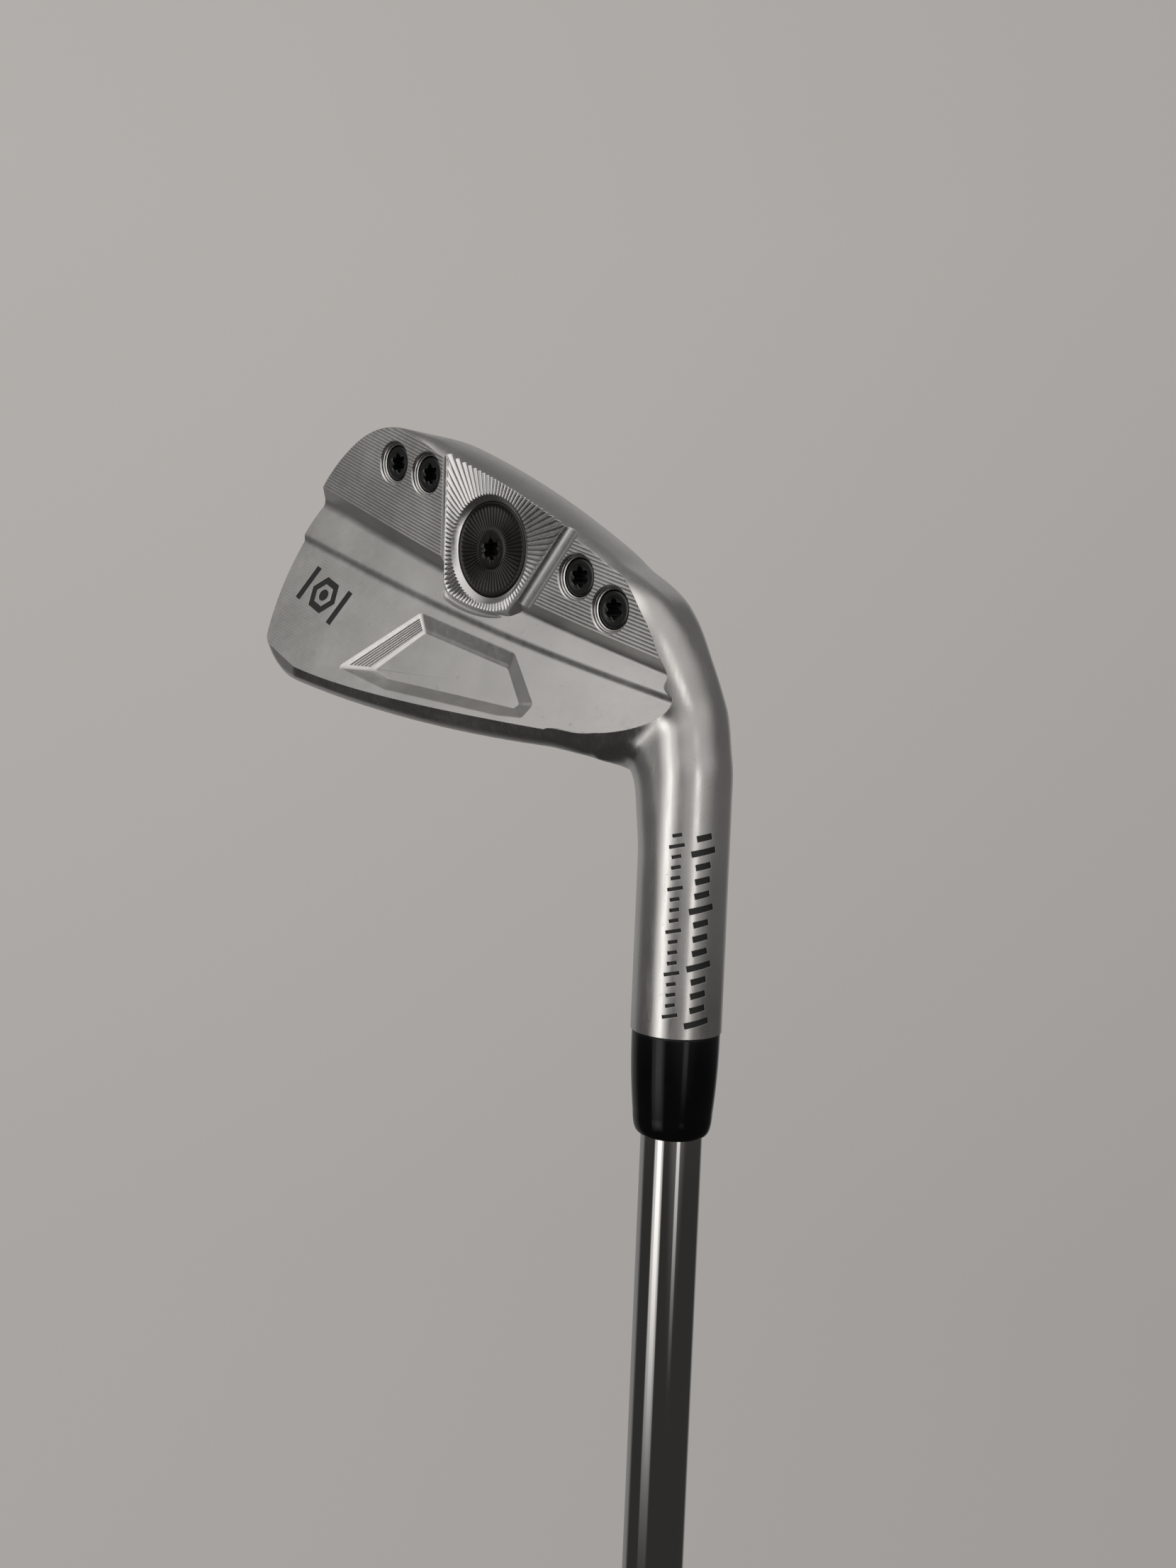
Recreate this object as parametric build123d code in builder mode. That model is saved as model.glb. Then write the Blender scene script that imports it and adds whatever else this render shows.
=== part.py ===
from build123d import *
import os
from math import atan, cos, degrees, pi, radians, sin, sqrt, tan

# A forged muscle-back golf iron, complete from grip to head. Millimetres and degrees.
# +Z runs along the shaft axis from the grip's butt end to the head, the back of the head
# looks towards -Y and its toe lies towards -X.

# Club
club_length = 978.0
lie_angle = 61.0
loft_angle = 20.0

# Hosel, measured along the shaft axis from the butt
hosel_start = 908.4
hosel_top_z = 946.0
hosel_r = 6.93
hosel_end_r = 6.78
hosel_taper_length = 12.0
bore_r = 4.85
bore_depth = 30.5

# Face-view outline of the blade: x towards the toe, y up from the ground
sole_heel = (11.0, 2.6)
sole_low = (33.0, 0.9)
sole_toe = (53.0, 1.6)
toe_low = (69.2, 9.2)
toe_mid = (74.5, 18.0)
toe_band = (76.1, 26.0)
toe_high = (72.0, 42.8)
toe_corner = (68.0, 49.4)
toe_top = (61.0, 52.8)
topline_mid = (33.0, 45.2)
topline_heel = (0.6, 32.2)
crotch_centre = (-5.1, 36.2)
crotch_r = 5.2
heel_centre = (12.0, 40.7)
heel_r = 37.6
neck_end_angle = 298.0
neck_turns = (0.0, 0.25, 0.5, 0.75, 1.0)
neck_points = 28
neck_squareness = 2.6
blank_back = 11.0
blank_skin = ((14.0, -5.0), (14.0, 12.0))
blank_base = -20.0
blank_height = 45.0
blank_heel_x = -30.0
blank_length = 130.0

# Section planes of the blade: z is the distance behind the shaft axis
face_set = -5.2
band_set = 0.3
flat_set = -0.5
pocket_set = -2.0
leading_edge_y = 3.2
trailing_edge = (11.8, 2.8)
sole_camber = (3.5, 0.9)
panel_set = 10.24
panel_toe_rise = 0.0453
panel_top_fall = -0.1104

# Ridge lines across the back, each as heights at the heel, the middle and the toe
ridge_x = (-16.0, 10.0, 34.0, 57.0, 84.0)
slope_top = (10.9, 15.1, 18.0, 19.6, 21.4)
slope_foot = (13.5, 17.8, 21.2, 23.4, 25.6)
step_top = (15.2, 20.8, 25.0, 28.1, 31.4)
step_foot = (16.4, 22.0, 26.3, 29.4, 32.6)
flat_top = (22.0, 33.3, 42.4, 49.2, 50.4)
bevel_fall = -0.4
mill_low_y = -8.0

# Edge of the milled part of the back where it meets the neck
milled_crotch_side = ((5.0, 31.2), (-1.0, 28.4), (-6.6, 24.6), (-10.4, 20.3), (-11.2, 17.4))
milled_notch = ((-11.2, 17.4), (-9.4, 16.2), (-9.2, 14.5), (-6.8, 12.0))
milled_sole_side = ((-6.8, 12.0), (-2.8, 8.3), (4.0, 4.9), (17.6, 2.4))
milled_height = 80.0

# Ports and weights
port_r = 3.0
port_rim_r = 3.57
port_recess = 0.92
port_depth = 7.5
ports = {
    "toe_weight_outer": (58.5, 9.35),
    "toe_weight_inner": (50.15, 7.95),
    "heel_weight_inner": (12.55, 8.9),
    "heel_weight_outer": (4.4, 10.25),
}
disc_centre = (32.0, 13.25)
disc_r = 7.75
disc_rim_r = 8.9
disc_recess = 0.68
disc_depth = 4.5
stud_r = 3.6
stud_depth = 2.4
thread_gap = 0.06
pad_recess = 0.6
pad_arc = ((37.6, 23.7), (31.0, 23.1), (23.75, 20.5))
pad_sides = (
    (23.75, 20.5), (22.1, 16.3), (18.5, 4.6), (14.8, -8.0), (51.9, -8.0), (39.35, 22.5), (37.6, 23.7),
)
pad_reach = 30.0
socket_r = 1.25
lobe_r = 0.45
socket_depth = 2.2

channel_r = 2.1
channel_lift = 0.85
channel_start = (16.1, 0.6)
channel_end = (21.65, 20.4)
pocket_rim = (
    (48.7, 44.4), (40.4, 29.0), (18.8, 25.2), (9.7, 29.6), (10.0, 32.0), (14.2, 34.0), (37.1, 42.2),
)
pocket_floor = (
    (42.6, 41.4), (38.2, 31.6), (18.9, 28.0), (12.7, 31.2), (13.2, 32.2), (16.7, 33.4), (39.0, 41.2),
)

# Face scoring
score_pitch = 3.55
score_count = 11
score_width = 0.85
score_depth = 0.42
score_low_y = 7.5
score_heel_x = 10.0
score_toe_x = 60.0
score_clear_y = 28.0
topline_slope = 0.4
bore_chamfer = 0.5

# Shaft, ferrule and grip
shaft_tip_r = 4.7
shaft_butt_r = 7.62
shaft_wall = 0.6
shaft_start = 3.0
shaft_steps = 10
first_step_z = 290.0
step_pitch = 40.0
step_ramp = 1.2
ferrule_end = 892.7
ferrule_side = (6.5, 900.6)
ferrule_shoulder = (6.08, 895.6)
ferrule_round = (5.75, 893.5)
ferrule_end_r = 5.05
grip_length = 267.0
grip_butt_r = 13.3
grip_mouth_r = 9.3
cap_length = 6.0
grip_waist_r = 10.6
grip_waist_z = 150.0
grip_lip = 0.8
grip_ring_count = 3
grip_ring_start = 6.0
grip_ring_pitch = 3.0
grip_ring_r = 0.5
grip_ring_taper = 0.02
grip_bore_r = 7.87
cap_round = 2.0
vent_r = 2.0
tape_thickness = 0.2
tape_margin = 4.0
film_gap = 0.02
head_chamfer = 0.3
shaft_end_gap = 0.5
ferrule_top_r = 6.72
ferrule_bore_r = 4.74
mark_depth = 0.3
mark_fill = 0.22
mark_centre = (62.6, 36.8)
mark_ring_r = (3.6, 2.2)
mark_dot_r = 1.1
mark_bar = (1.3, 7.0)
mark_bar_pitch = 10.4
tick_slant = 12.0
long_tick_every = 4
short_tick = 0.62
tick_height = 40.0
tick_rows = ((60.0, 14, 2.1, 0.9, 3.9, 910.8), (26.0, 18, 1.56, 0.5, 2.3, 911.8))

toeward = Vector(-sin(radians(lie_angle)), 0, cos(radians(lie_angle)))
back = Vector(0, -1, 0)
face_view = Plane(origin=(0, 0, club_length), x_dir=toeward, z_dir=back)
rise = tan(radians(loft_angle))
far = 60.0
blade_side = Plane(
    origin=face_view.from_local_coords((blank_heel_x, 0, 0)), x_dir=back, z_dir=toeward * -1
)


def lofted(set_back):
    """The plane parallel to the strike face that crosses the ground line at set_back."""
    normal = face_view.x_dir.cross(face_view.y_dir + face_view.z_dir * rise)
    return Plane(origin=face_view.from_local_coords((0, 0, set_back)), x_dir=toeward, z_dir=normal)


def up_face(y):
    """A height above the ground as a distance up the lofted plane."""
    return y / cos(radians(loft_angle))


def up_face_to_height(distance):
    """A distance up the lofted plane as a height above the ground."""
    return distance * cos(radians(loft_angle))


def panel_z(x, y):
    return panel_set + panel_toe_rise * x + panel_top_fall * y


def panel_plane(x, y, sink=0.0):
    """The plane of the milled panels, with its origin under the face-view point (x, y)."""
    normal = Vector(-panel_toe_rise, -panel_top_fall, 1).normalized()
    base = Vector(x, y, panel_z(x, y)) - normal * sink
    turned = face_view.from_local_coords(base + normal) - face_view.from_local_coords(base)
    return Plane(origin=face_view.from_local_coords(base), x_dir=toeward, z_dir=turned)


def six_lobe(plane):
    """The outline of a six-lobe driver socket on a plane."""
    with BuildSketch(plane) as lobes:
        Circle(socket_r)
        with PolarLocations(socket_r, 6):
            Circle(lobe_r)
    return lobes.sketch


def neck_section(turn):
    """One cross-section of the neck: a round hosel at turn 0, a full blade section at turn 1."""
    start = radians(270 - lie_angle)
    end = radians(neck_end_angle)
    angle = start + (end - start) * turn
    out = Vector(cos(angle), sin(angle), 0)
    centre = Vector(*crotch_centre, 0)
    reach = centre - Vector(*heel_centre, 0)
    along = reach.dot(out)
    outer = -along + sqrt(along**2 - reach.dot(reach) + heel_r**2)
    middle = (crotch_r + outer) / 2
    half = (outer - crotch_r) / 2
    blend = turn**2 * (3 - 2 * turn)
    power = 2 / (2 + neck_squareness * blend)
    points = []
    for i in range(neck_points):
        a = 2 * pi * i / neck_points
        across = abs(cos(a)) ** power * (1 if cos(a) >= 0 else -1)
        depth = abs(sin(a)) ** power * (1 if sin(a) >= 0 else -1)
        rho = middle + half * across
        y = centre.Y + out.Y * rho
        front = (blend - 1) * hosel_r + blend * (rise * y + face_set)
        rear = (1 - blend) * hosel_r + blend * blank_back
        points.append((rho, (front + rear) / 2 + (rear - front) / 2 * depth))
    radial = face_view.from_local_coords(out) - face_view.from_local_coords(Vector(0, 0, 0))
    plane = Plane(
        origin=face_view.from_local_coords(centre), x_dir=radial, z_dir=radial.cross(back)
    )
    return plane, points


def ridge_section(i):
    """One section of the milling cutter that shapes the back, seen along the ridge lines."""
    x = ridge_x[i]
    return [
        (panel_z(x, mill_low_y), mill_low_y),
        (panel_z(x, slope_top[i]), slope_top[i]),
        (rise * slope_foot[i] + band_set, slope_foot[i]),
        (rise * step_top[i] + band_set, step_top[i]),
        (rise * step_foot[i] + flat_set, step_foot[i]),
        (rise * flat_top[i] + flat_set, flat_top[i]),
        (rise * flat_top[i] + flat_set + bevel_fall * (far - flat_top[i]), far),
        (far, far),
        (far, mill_low_y),
    ]


os.makedirs("parts", exist_ok=True)

# Region of the back that is milled, bounded at the heel by the neck
with BuildPart() as milled_region:
    with BuildSketch(face_view.offset(blank_base)):
        with BuildLine():
            Spline(*milled_crotch_side)
            Polyline(*milled_notch)
            Spline(*milled_sole_side)
            Polyline(
                milled_sole_side[-1], (milled_sole_side[-1][0], blank_base), (far + far, blank_base),
                (far + far, far), (milled_crotch_side[0][0], far), milled_crotch_side[0],
            )
        make_face()
    extrude(amount=milled_height)

# Outline of the pad around the centre weight, and the space that the ridges leave to it
with BuildSketch() as pad_outline:
    with BuildLine():
        Polyline(*pad_sides)
        ThreePointArc(*pad_arc)
    make_face()
with BuildPart() as pad:
    with BuildSketch(panel_plane(0, 0, pad_recess)):
        add(pad_outline.sketch)
    extrude(amount=pad_reach, both=True)

# Space above the pad, and the channel on its heel side
with BuildPart() as pad_clearance:
    with BuildSketch(panel_plane(0, 0, pad_recess)):
        add(pad_outline.sketch)
    extrude(amount=pad_reach)

channel_from = face_view.from_local_coords((*channel_start, panel_z(*channel_start) + channel_lift))
channel_to = face_view.from_local_coords((*channel_end, panel_z(*channel_end) + channel_lift))
channel_plane = Plane(origin=channel_from, z_dir=channel_to - channel_from)
channel_length = (channel_to - channel_from).length
rim_taper = degrees(atan((port_rim_r - port_r) / port_recess))
disc_taper = degrees(atan((disc_rim_r - disc_r) / disc_recess))
disc_floor = pad_recess + disc_recess

# Pocket in the lower flat, with sloping walls
with BuildPart() as pocket:
    with BuildSketch(lofted(flat_set)):
        Polygon(*[(x, up_face(y)) for x, y in pocket_rim], align=None)
    with BuildSketch(lofted(pocket_set)):
        Polygon(*[(x, up_face(y)) for x, y in pocket_floor], align=None)
    loft(ruled=True)

# A plain mark on the toe: a hexagonal ring between slanted bars
with BuildSketch() as toe_mark:
    with Locations((mark_centre[0], up_face(mark_centre[1]))):
        RegularPolygon(mark_ring_r[0], 6)
        RegularPolygon(mark_ring_r[1], 6, mode=Mode.SUBTRACT)
        Circle(mark_dot_r)
        with GridLocations(mark_bar_pitch, 0, 2, 1):
            Rectangle(*mark_bar)

# Slanted ticks down the hosel, as a ring segment that reaches just below its surface
with BuildPart() as hosel_marks:
    for bearing, count, pitch, width, length, low_z in tick_rows:
        outward = Vector(sin(radians(bearing)), -cos(radians(bearing)), 0)
        with BuildSketch(Plane(origin=(0, 0, low_z), x_dir=(0, 0, 1), z_dir=outward)):
            for i in range(count):
                tick = length if i % long_tick_every == 0 else length * short_tick
                with Locations((i * pitch, 0)):
                    Rectangle(width, tick, rotation=tick_slant)
        extrude(amount=hosel_r + 1)
    with BuildSketch(Plane.XY.offset(hosel_start)):
        Circle(hosel_r + 2)
        Circle(hosel_end_r - mark_depth, mode=Mode.SUBTRACT)
    extrude(amount=tick_height, mode=Mode.INTERSECT)

# Cutter that leaves the panels, the slope, the band, the step and the lower flat
with BuildPart() as ridge_cutter:
    for i, x in enumerate(ridge_x):
        with BuildSketch(Plane(origin=face_view.from_local_coords((x, 0, 0)), x_dir=back, z_dir=-toeward)):
            Polygon(*ridge_section(i), align=None)
    loft(ruled=True)
    add(milled_region.part, mode=Mode.INTERSECT)
    add(pad.part, mode=Mode.SUBTRACT)

# Head
with BuildPart() as head_body:
    # Blade prism inside its outline, then trimmed to the strike face and the cambered sole
    with BuildSketch(face_view.offset(blank_base)):
        with BuildLine():
            sole = ThreePointArc(sole_heel, sole_low, sole_toe)
            toe = Spline(
                sole_toe, toe_low, toe_mid, toe_band, toe_high, toe_corner, toe_top,
                tangents=[(1, 0.12), (-1, 0.14)],
            )
            topline = ThreePointArc(toe_top, topline_mid, topline_heel)
            Line(topline @ 1, sole_heel)
        make_face()
    extrude(amount=blank_height)
    with BuildSketch(blade_side):
        with BuildLine():
            leading = (rise * leading_edge_y + face_set, leading_edge_y)
            ThreePointArc(leading, sole_camber, trailing_edge)
            tall = (rise * far + face_set, far)
            Polyline(trailing_edge, (far, trailing_edge[1]), (far, far), tall, leading)
        make_face()
    extrude(amount=-blank_length, mode=Mode.INTERSECT)
    # Back skin of the blank
    with BuildSketch(blade_side):
        with BuildLine():
            Polyline(*blank_skin, (rise * far + flat_set, far), (far, far), (far, blank_skin[0][1]), close=True)
        make_face()
    extrude(amount=-blank_length, mode=Mode.SUBTRACT)
    # Neck from the blade round to the hosel
    for turn in neck_turns:
        section_plane, section_points = neck_section(turn)
        with BuildSketch(section_plane):
            with BuildLine():
                Spline(*section_points, section_points[0])
            make_face()
    loft()
    with BuildSketch(Plane.XY.offset(hosel_start + hosel_taper_length)):
        Circle(hosel_r)
    extrude(amount=hosel_top_z - hosel_start - hosel_taper_length)
    with BuildSketch(Plane.XY.offset(hosel_start)):
        Circle(hosel_end_r)
    with BuildSketch(Plane.XY.offset(hosel_start + hosel_taper_length)):
        Circle(hosel_r)
    loft()
    # Milled back: ridges, the sunk pad and the channel beside it
    add(ridge_cutter.part, mode=Mode.SUBTRACT)
    add(pad_clearance.part, mode=Mode.SUBTRACT)
    with BuildSketch(channel_plane):
        Circle(channel_r)
    extrude(amount=channel_length, mode=Mode.SUBTRACT)
    add(pocket.part, mode=Mode.SUBTRACT)
    # Ports for the weights
    for x, y in ports.values():
        with BuildSketch(panel_plane(x, y)):
            Circle(port_rim_r)
        extrude(amount=-port_recess, taper=rim_taper, mode=Mode.SUBTRACT)
        with BuildSketch(panel_plane(x, y, port_recess)):
            Circle(port_r)
        extrude(amount=port_recess - port_depth, mode=Mode.SUBTRACT)
    with BuildSketch(panel_plane(*disc_centre, pad_recess)):
        Circle(disc_rim_r)
    extrude(amount=-disc_recess, taper=disc_taper, mode=Mode.SUBTRACT)
    with BuildSketch(panel_plane(*disc_centre, disc_floor)):
        Circle(disc_r)
    extrude(amount=-disc_depth, mode=Mode.SUBTRACT)
    with BuildSketch(panel_plane(*disc_centre, disc_floor + disc_depth)):
        Circle(stud_r)
    extrude(amount=-stud_depth, mode=Mode.SUBTRACT)
    # Shaft bore, opened a little at its mouth
    with BuildSketch(Plane.XY.offset(hosel_start)):
        Circle(bore_r)
    extrude(amount=bore_depth, mode=Mode.SUBTRACT)
    with BuildSketch(Plane.XY.offset(hosel_start)):
        Circle(bore_r + bore_chamfer)
    extrude(amount=bore_chamfer, taper=45, mode=Mode.SUBTRACT)
    # Strike-face grooves
    for i in range(score_count):
        height = score_low_y + i * score_pitch
        heel_x = max(score_heel_x, (up_face_to_height(height) - score_clear_y) / topline_slope)
        with BuildSketch(lofted(face_set)):
            with Locations(((heel_x + score_toe_x) / 2, height)):
                Rectangle(score_toe_x - heel_x, score_width)
        extrude(amount=score_depth, mode=Mode.SUBTRACT)
    # Recesses for the filled marks
    with BuildSketch(lofted(flat_set)):
        add(toe_mark.sketch)
    extrude(amount=-mark_depth, mode=Mode.SUBTRACT)
    add(hosel_marks.part, mode=Mode.SUBTRACT)

head_body.part.label = "head_body"
export_step(head_body.part, "parts/head_body.step")

# Small weights: threaded slugs with a driver socket, sunk below the panels
for name, (x, y) in ports.items():
    with BuildPart() as port_weight:
        with BuildSketch(panel_plane(x, y, port_recess)):
            Circle(port_r - thread_gap)
        extrude(amount=port_recess - port_depth)
        chamfer(port_weight.faces().sort_by(Axis.Y)[0].edges(), head_chamfer)
        socket = six_lobe(panel_plane(x, y, port_recess))
        extrude(socket, amount=-socket_depth, mode=Mode.SUBTRACT)
    port_weight.part.label = name
    export_step(port_weight.part, f"parts/{name}.step")

# Centre weight: a wide disc on a threaded stud
with BuildPart() as center_weight:
    with BuildSketch(panel_plane(*disc_centre, disc_floor)):
        Circle(disc_r - thread_gap)
    extrude(amount=-disc_depth)
    with BuildSketch(panel_plane(*disc_centre, disc_floor + disc_depth)):
        Circle(stud_r - thread_gap)
    extrude(amount=-stud_depth)
    chamfer(center_weight.faces().sort_by(Axis.Y)[0].edges(), head_chamfer)
    socket = six_lobe(panel_plane(*disc_centre, disc_floor))
    extrude(socket, amount=-socket_depth, mode=Mode.SUBTRACT)
center_weight.part.label = "center_weight"
export_step(center_weight.part, "parts/center_weight.step")

# Paint in the toe mark and in the hosel ticks
with BuildPart() as toe_mark_paint:
    with BuildSketch(lofted(flat_set).offset(-mark_depth)):
        add(toe_mark.sketch)
    extrude(amount=mark_fill)
toe_mark_paint.part.label = "toe_mark_paint"
export_step(toe_mark_paint.part, "parts/toe_mark_paint.step")

with BuildPart() as hosel_mark_paint:
    add(hosel_marks.part)
    with BuildSketch(Plane.XY.offset(hosel_start)):
        Circle(hosel_end_r - mark_depth + mark_fill)
    extrude(amount=tick_height, mode=Mode.INTERSECT)
hosel_mark_paint.part.label = "hosel_mark_paint"
export_step(hosel_mark_paint.part, "parts/hosel_mark_paint.step")

# Ferrule: a tapered collar on the shaft against the end of the hosel
with BuildPart() as ferrule:
    with BuildSketch(Plane.XZ):
        with BuildLine():
            ThreePointArc((ferrule_top_r, hosel_start), ferrule_side, ferrule_shoulder)
            ThreePointArc(ferrule_shoulder, ferrule_round, (ferrule_end_r, ferrule_end))
            Polyline(
                (ferrule_end_r, ferrule_end),
                (ferrule_bore_r, ferrule_end),
                (ferrule_bore_r, hosel_start),
                (ferrule_top_r, hosel_start),
            )
        make_face()
    revolve(axis=Axis.Z)
ferrule.part.label = "ferrule"
export_step(ferrule.part, "parts/ferrule.step")

# Shaft: a stepped tube, widest under the grip
shaft_end = hosel_start + bore_depth - shaft_end_gap
step_drop = (shaft_butt_r - shaft_tip_r) / shaft_steps
outer_line = [(shaft_butt_r, shaft_start)]
for i in range(shaft_steps):
    z = first_step_z + i * step_pitch
    outer_line.append((shaft_butt_r - i * step_drop, z))
    outer_line.append((shaft_butt_r - (i + 1) * step_drop, z + step_ramp))
outer_line.append((shaft_tip_r, shaft_end))
inner_line = [(r - shaft_wall, z) for r, z in reversed(outer_line)]
with BuildPart() as shaft:
    with BuildSketch(Plane.XZ):
        with BuildLine():
            Polyline(*outer_line, *inner_line, close=True)
        make_face()
    revolve(axis=Axis.Z)
shaft.part.label = "shaft"
export_step(shaft.part, "parts/shaft.step")

# Adhesive sleeve between the shaft tip and the bore
with BuildPart() as hosel_epoxy:
    with BuildSketch(Plane.XY.offset(hosel_start + bore_chamfer)):
        Circle(bore_r - film_gap)
        Circle(shaft_tip_r + film_gap, mode=Mode.SUBTRACT)
    extrude(amount=bore_depth - bore_chamfer - shaft_end_gap)
hosel_epoxy.part.label = "hosel_epoxy"
export_step(hosel_epoxy.part, "parts/hosel_epoxy.step")

# Grip: rubber sleeve over a layer of tape, closed by a cap with a vent hole
with BuildPart() as grip_sleeve:
    with BuildSketch(Plane.XZ):
        with BuildLine():
            Polyline(
                (grip_bore_r, cap_length),
                (grip_butt_r, cap_length),
                (grip_waist_r, grip_waist_z),
                (grip_mouth_r, grip_length - grip_lip),
                (grip_mouth_r - grip_lip, grip_length),
                (grip_bore_r, grip_length),
                close=True,
            )
        make_face()
        for i in range(grip_ring_count):
            z = grip_length - grip_ring_start - i * grip_ring_pitch
            with Locations((grip_mouth_r + (grip_length - z) * grip_ring_taper, z)):
                Circle(grip_ring_r, mode=Mode.SUBTRACT)
    revolve(axis=Axis.Z)
grip_sleeve.part.label = "grip_sleeve"
export_step(grip_sleeve.part, "parts/grip_sleeve.step")

with BuildPart() as grip_cap:
    with BuildSketch(Plane.XY):
        Circle(grip_butt_r)
    extrude(amount=cap_length)
    fillet(grip_cap.edges().sort_by(Axis.Z)[0], cap_round)
    with BuildSketch(Plane.XY.offset(shaft_start)):
        Circle(shaft_butt_r + film_gap)
    extrude(amount=cap_length, mode=Mode.SUBTRACT)
    with BuildSketch(Plane.XY):
        Circle(vent_r)
    extrude(amount=cap_length, mode=Mode.SUBTRACT)
grip_cap.part.label = "grip_cap"
export_step(grip_cap.part, "parts/grip_cap.step")

with BuildPart() as grip_tape:
    with BuildSketch(Plane.XY.offset(cap_length)):
        Circle(shaft_butt_r + film_gap + tape_thickness)
        Circle(shaft_butt_r + film_gap, mode=Mode.SUBTRACT)
    extrude(amount=grip_length - cap_length - tape_margin)
grip_tape.part.label = "grip_tape"
export_step(grip_tape.part, "parts/grip_tape.step")
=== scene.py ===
import math
import bmesh
import bpy
import numpy as np
from mathutils import Matrix, Vector


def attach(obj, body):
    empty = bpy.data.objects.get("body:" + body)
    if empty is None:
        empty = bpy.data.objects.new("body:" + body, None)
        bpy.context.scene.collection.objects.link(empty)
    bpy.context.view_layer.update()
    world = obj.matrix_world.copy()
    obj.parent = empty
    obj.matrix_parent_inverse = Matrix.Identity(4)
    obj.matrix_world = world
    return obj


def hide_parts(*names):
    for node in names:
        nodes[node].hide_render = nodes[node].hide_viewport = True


# The looks of the iron golf club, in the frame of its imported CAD.
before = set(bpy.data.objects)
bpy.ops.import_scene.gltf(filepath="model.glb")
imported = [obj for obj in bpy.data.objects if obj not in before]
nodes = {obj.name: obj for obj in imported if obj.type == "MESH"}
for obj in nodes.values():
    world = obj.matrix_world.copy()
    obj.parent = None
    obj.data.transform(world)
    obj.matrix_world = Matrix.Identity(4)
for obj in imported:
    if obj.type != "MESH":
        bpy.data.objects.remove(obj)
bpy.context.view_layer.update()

# -------- head frame
# Local head coordinates in millimetres: x towards the toe, y up from the ground, z out of the back.
# The hosel axis is the frame's z axis, and the local origin lies on it at the height CLUB.
MM = 1000.0  # in a metre
LIE = math.radians(61.0)
LOFT = math.radians(20.0)
CLUB = 978.0
TAN = math.tan(LOFT)
COS = math.cos(LOFT)
SIN = math.sin(LOFT)
TOE = np.array([-math.sin(LIE), 0, math.cos(LIE)])
UP = np.array([-math.cos(LIE), 0, -math.sin(LIE)])
BACK = np.array([0.0, -1.0, 0.0])
AXIS = np.array([-math.cos(LIE), math.sin(LIE)])  # hosel axis in (x, y), away from the sole
OUT = np.array([-math.sin(LIE), -math.cos(LIE)])  # from the hosel axis to its heel side


def to_row(p):
    """Local head points in mm to the row frame in metres."""
    p = np.asarray(p, float)
    return (np.array([0, 0, CLUB]) + p[:, :1] * TOE + p[:, 1:2] * UP + p[:, 2:3] * BACK) / MM


def smooth(t):
    """A smooth step from 0 to 1."""
    t = np.clip(t, 0, 1)
    return t * t * (3 - 2 * t)


def bearings(n):
    """Evenly spread round a full turn, in radians."""
    return np.linspace(0, 2 * math.pi, n, endpoint=False)


def circle(r, s, z):
    """Points about the shaft axis at the bearings s."""
    return np.stack([r * np.cos(s), r * np.sin(s), np.full(len(s), z)], -1)


# -------- mesh helpers
def make(name, verts, faces, local=True):
    """A mesh object from points in mm, in the head's local frame or in the row frame."""
    me = bpy.data.meshes.new(name)
    v = to_row(verts) if local else np.asarray(verts, float) / MM
    me.from_pydata(v.tolist(), [], [tuple(int(i) for i in f) for f in faces])
    me.validate()
    ob = bpy.data.objects.new(name, me)
    bpy.context.scene.collection.objects.link(ob)
    return ob


def grid_faces(rows, cols, base=0, close=False):
    """Quads of a rows x cols sheet of points; close joins the last column to the first."""
    i, j = np.meshgrid(np.arange(rows - 1), np.arange(cols if close else cols - 1), indexing="ij")
    k = (j + 1) % cols
    a = base + i * cols + j
    b = base + i * cols + k
    c = base + (i + 1) * cols + k
    d = base + (i + 1) * cols + j
    return np.stack([a, b, c, d], -1).reshape(-1, 4)


def rings_solid(name, rings, local=True):
    """A closed solid through rings of points, with its two ends capped by a fan."""
    rings = [np.asarray(r, float) for r in rings]
    n = len(rings[0])
    verts = np.concatenate(rings + [rings[0].mean(0)[None], rings[-1].mean(0)[None]])
    faces = [tuple(f) for f in grid_faces(len(rings), n, close=True)]
    first, last = len(verts) - 2, len(verts) - 1
    top = (len(rings) - 1) * n
    for j in range(n):
        k = (j + 1) % n
        faces.append((first, k, j))
        faces.append((last, top + j, top + k))
    return fix(make(name, verts, faces, local))


def sheet_solid(name, low, high):
    """A closed solid between two sheets of points with the same rows and columns."""
    rows, cols = low.shape[:2]
    n = rows * cols
    verts = np.concatenate([low.reshape(-1, 3), high.reshape(-1, 3)])
    faces = [tuple(f[::-1]) for f in grid_faces(rows, cols)]
    faces += [tuple(f) for f in grid_faces(rows, cols, n)]
    edge = list(range(cols))
    edge += [i * cols + cols - 1 for i in range(1, rows)]
    edge += [(rows - 1) * cols + j for j in range(cols - 2, -1, -1)]
    edge += [i * cols for i in range(rows - 2, 0, -1)]
    for a, b in zip(edge, edge[1:] + edge[:1]):
        faces.append((a, b, n + b, n + a))
    return fix(make(name, verts, faces))


def fix(ob):
    """Face normals outwards."""
    bm = bmesh.new()
    bm.from_mesh(ob.data)
    bmesh.ops.recalc_face_normals(bm, faces=bm.faces)
    if bm.calc_volume(signed=True) < 0:
        bmesh.ops.reverse_faces(bm, faces=bm.faces)
    bm.to_mesh(ob.data)
    bm.free()
    return ob


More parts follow.
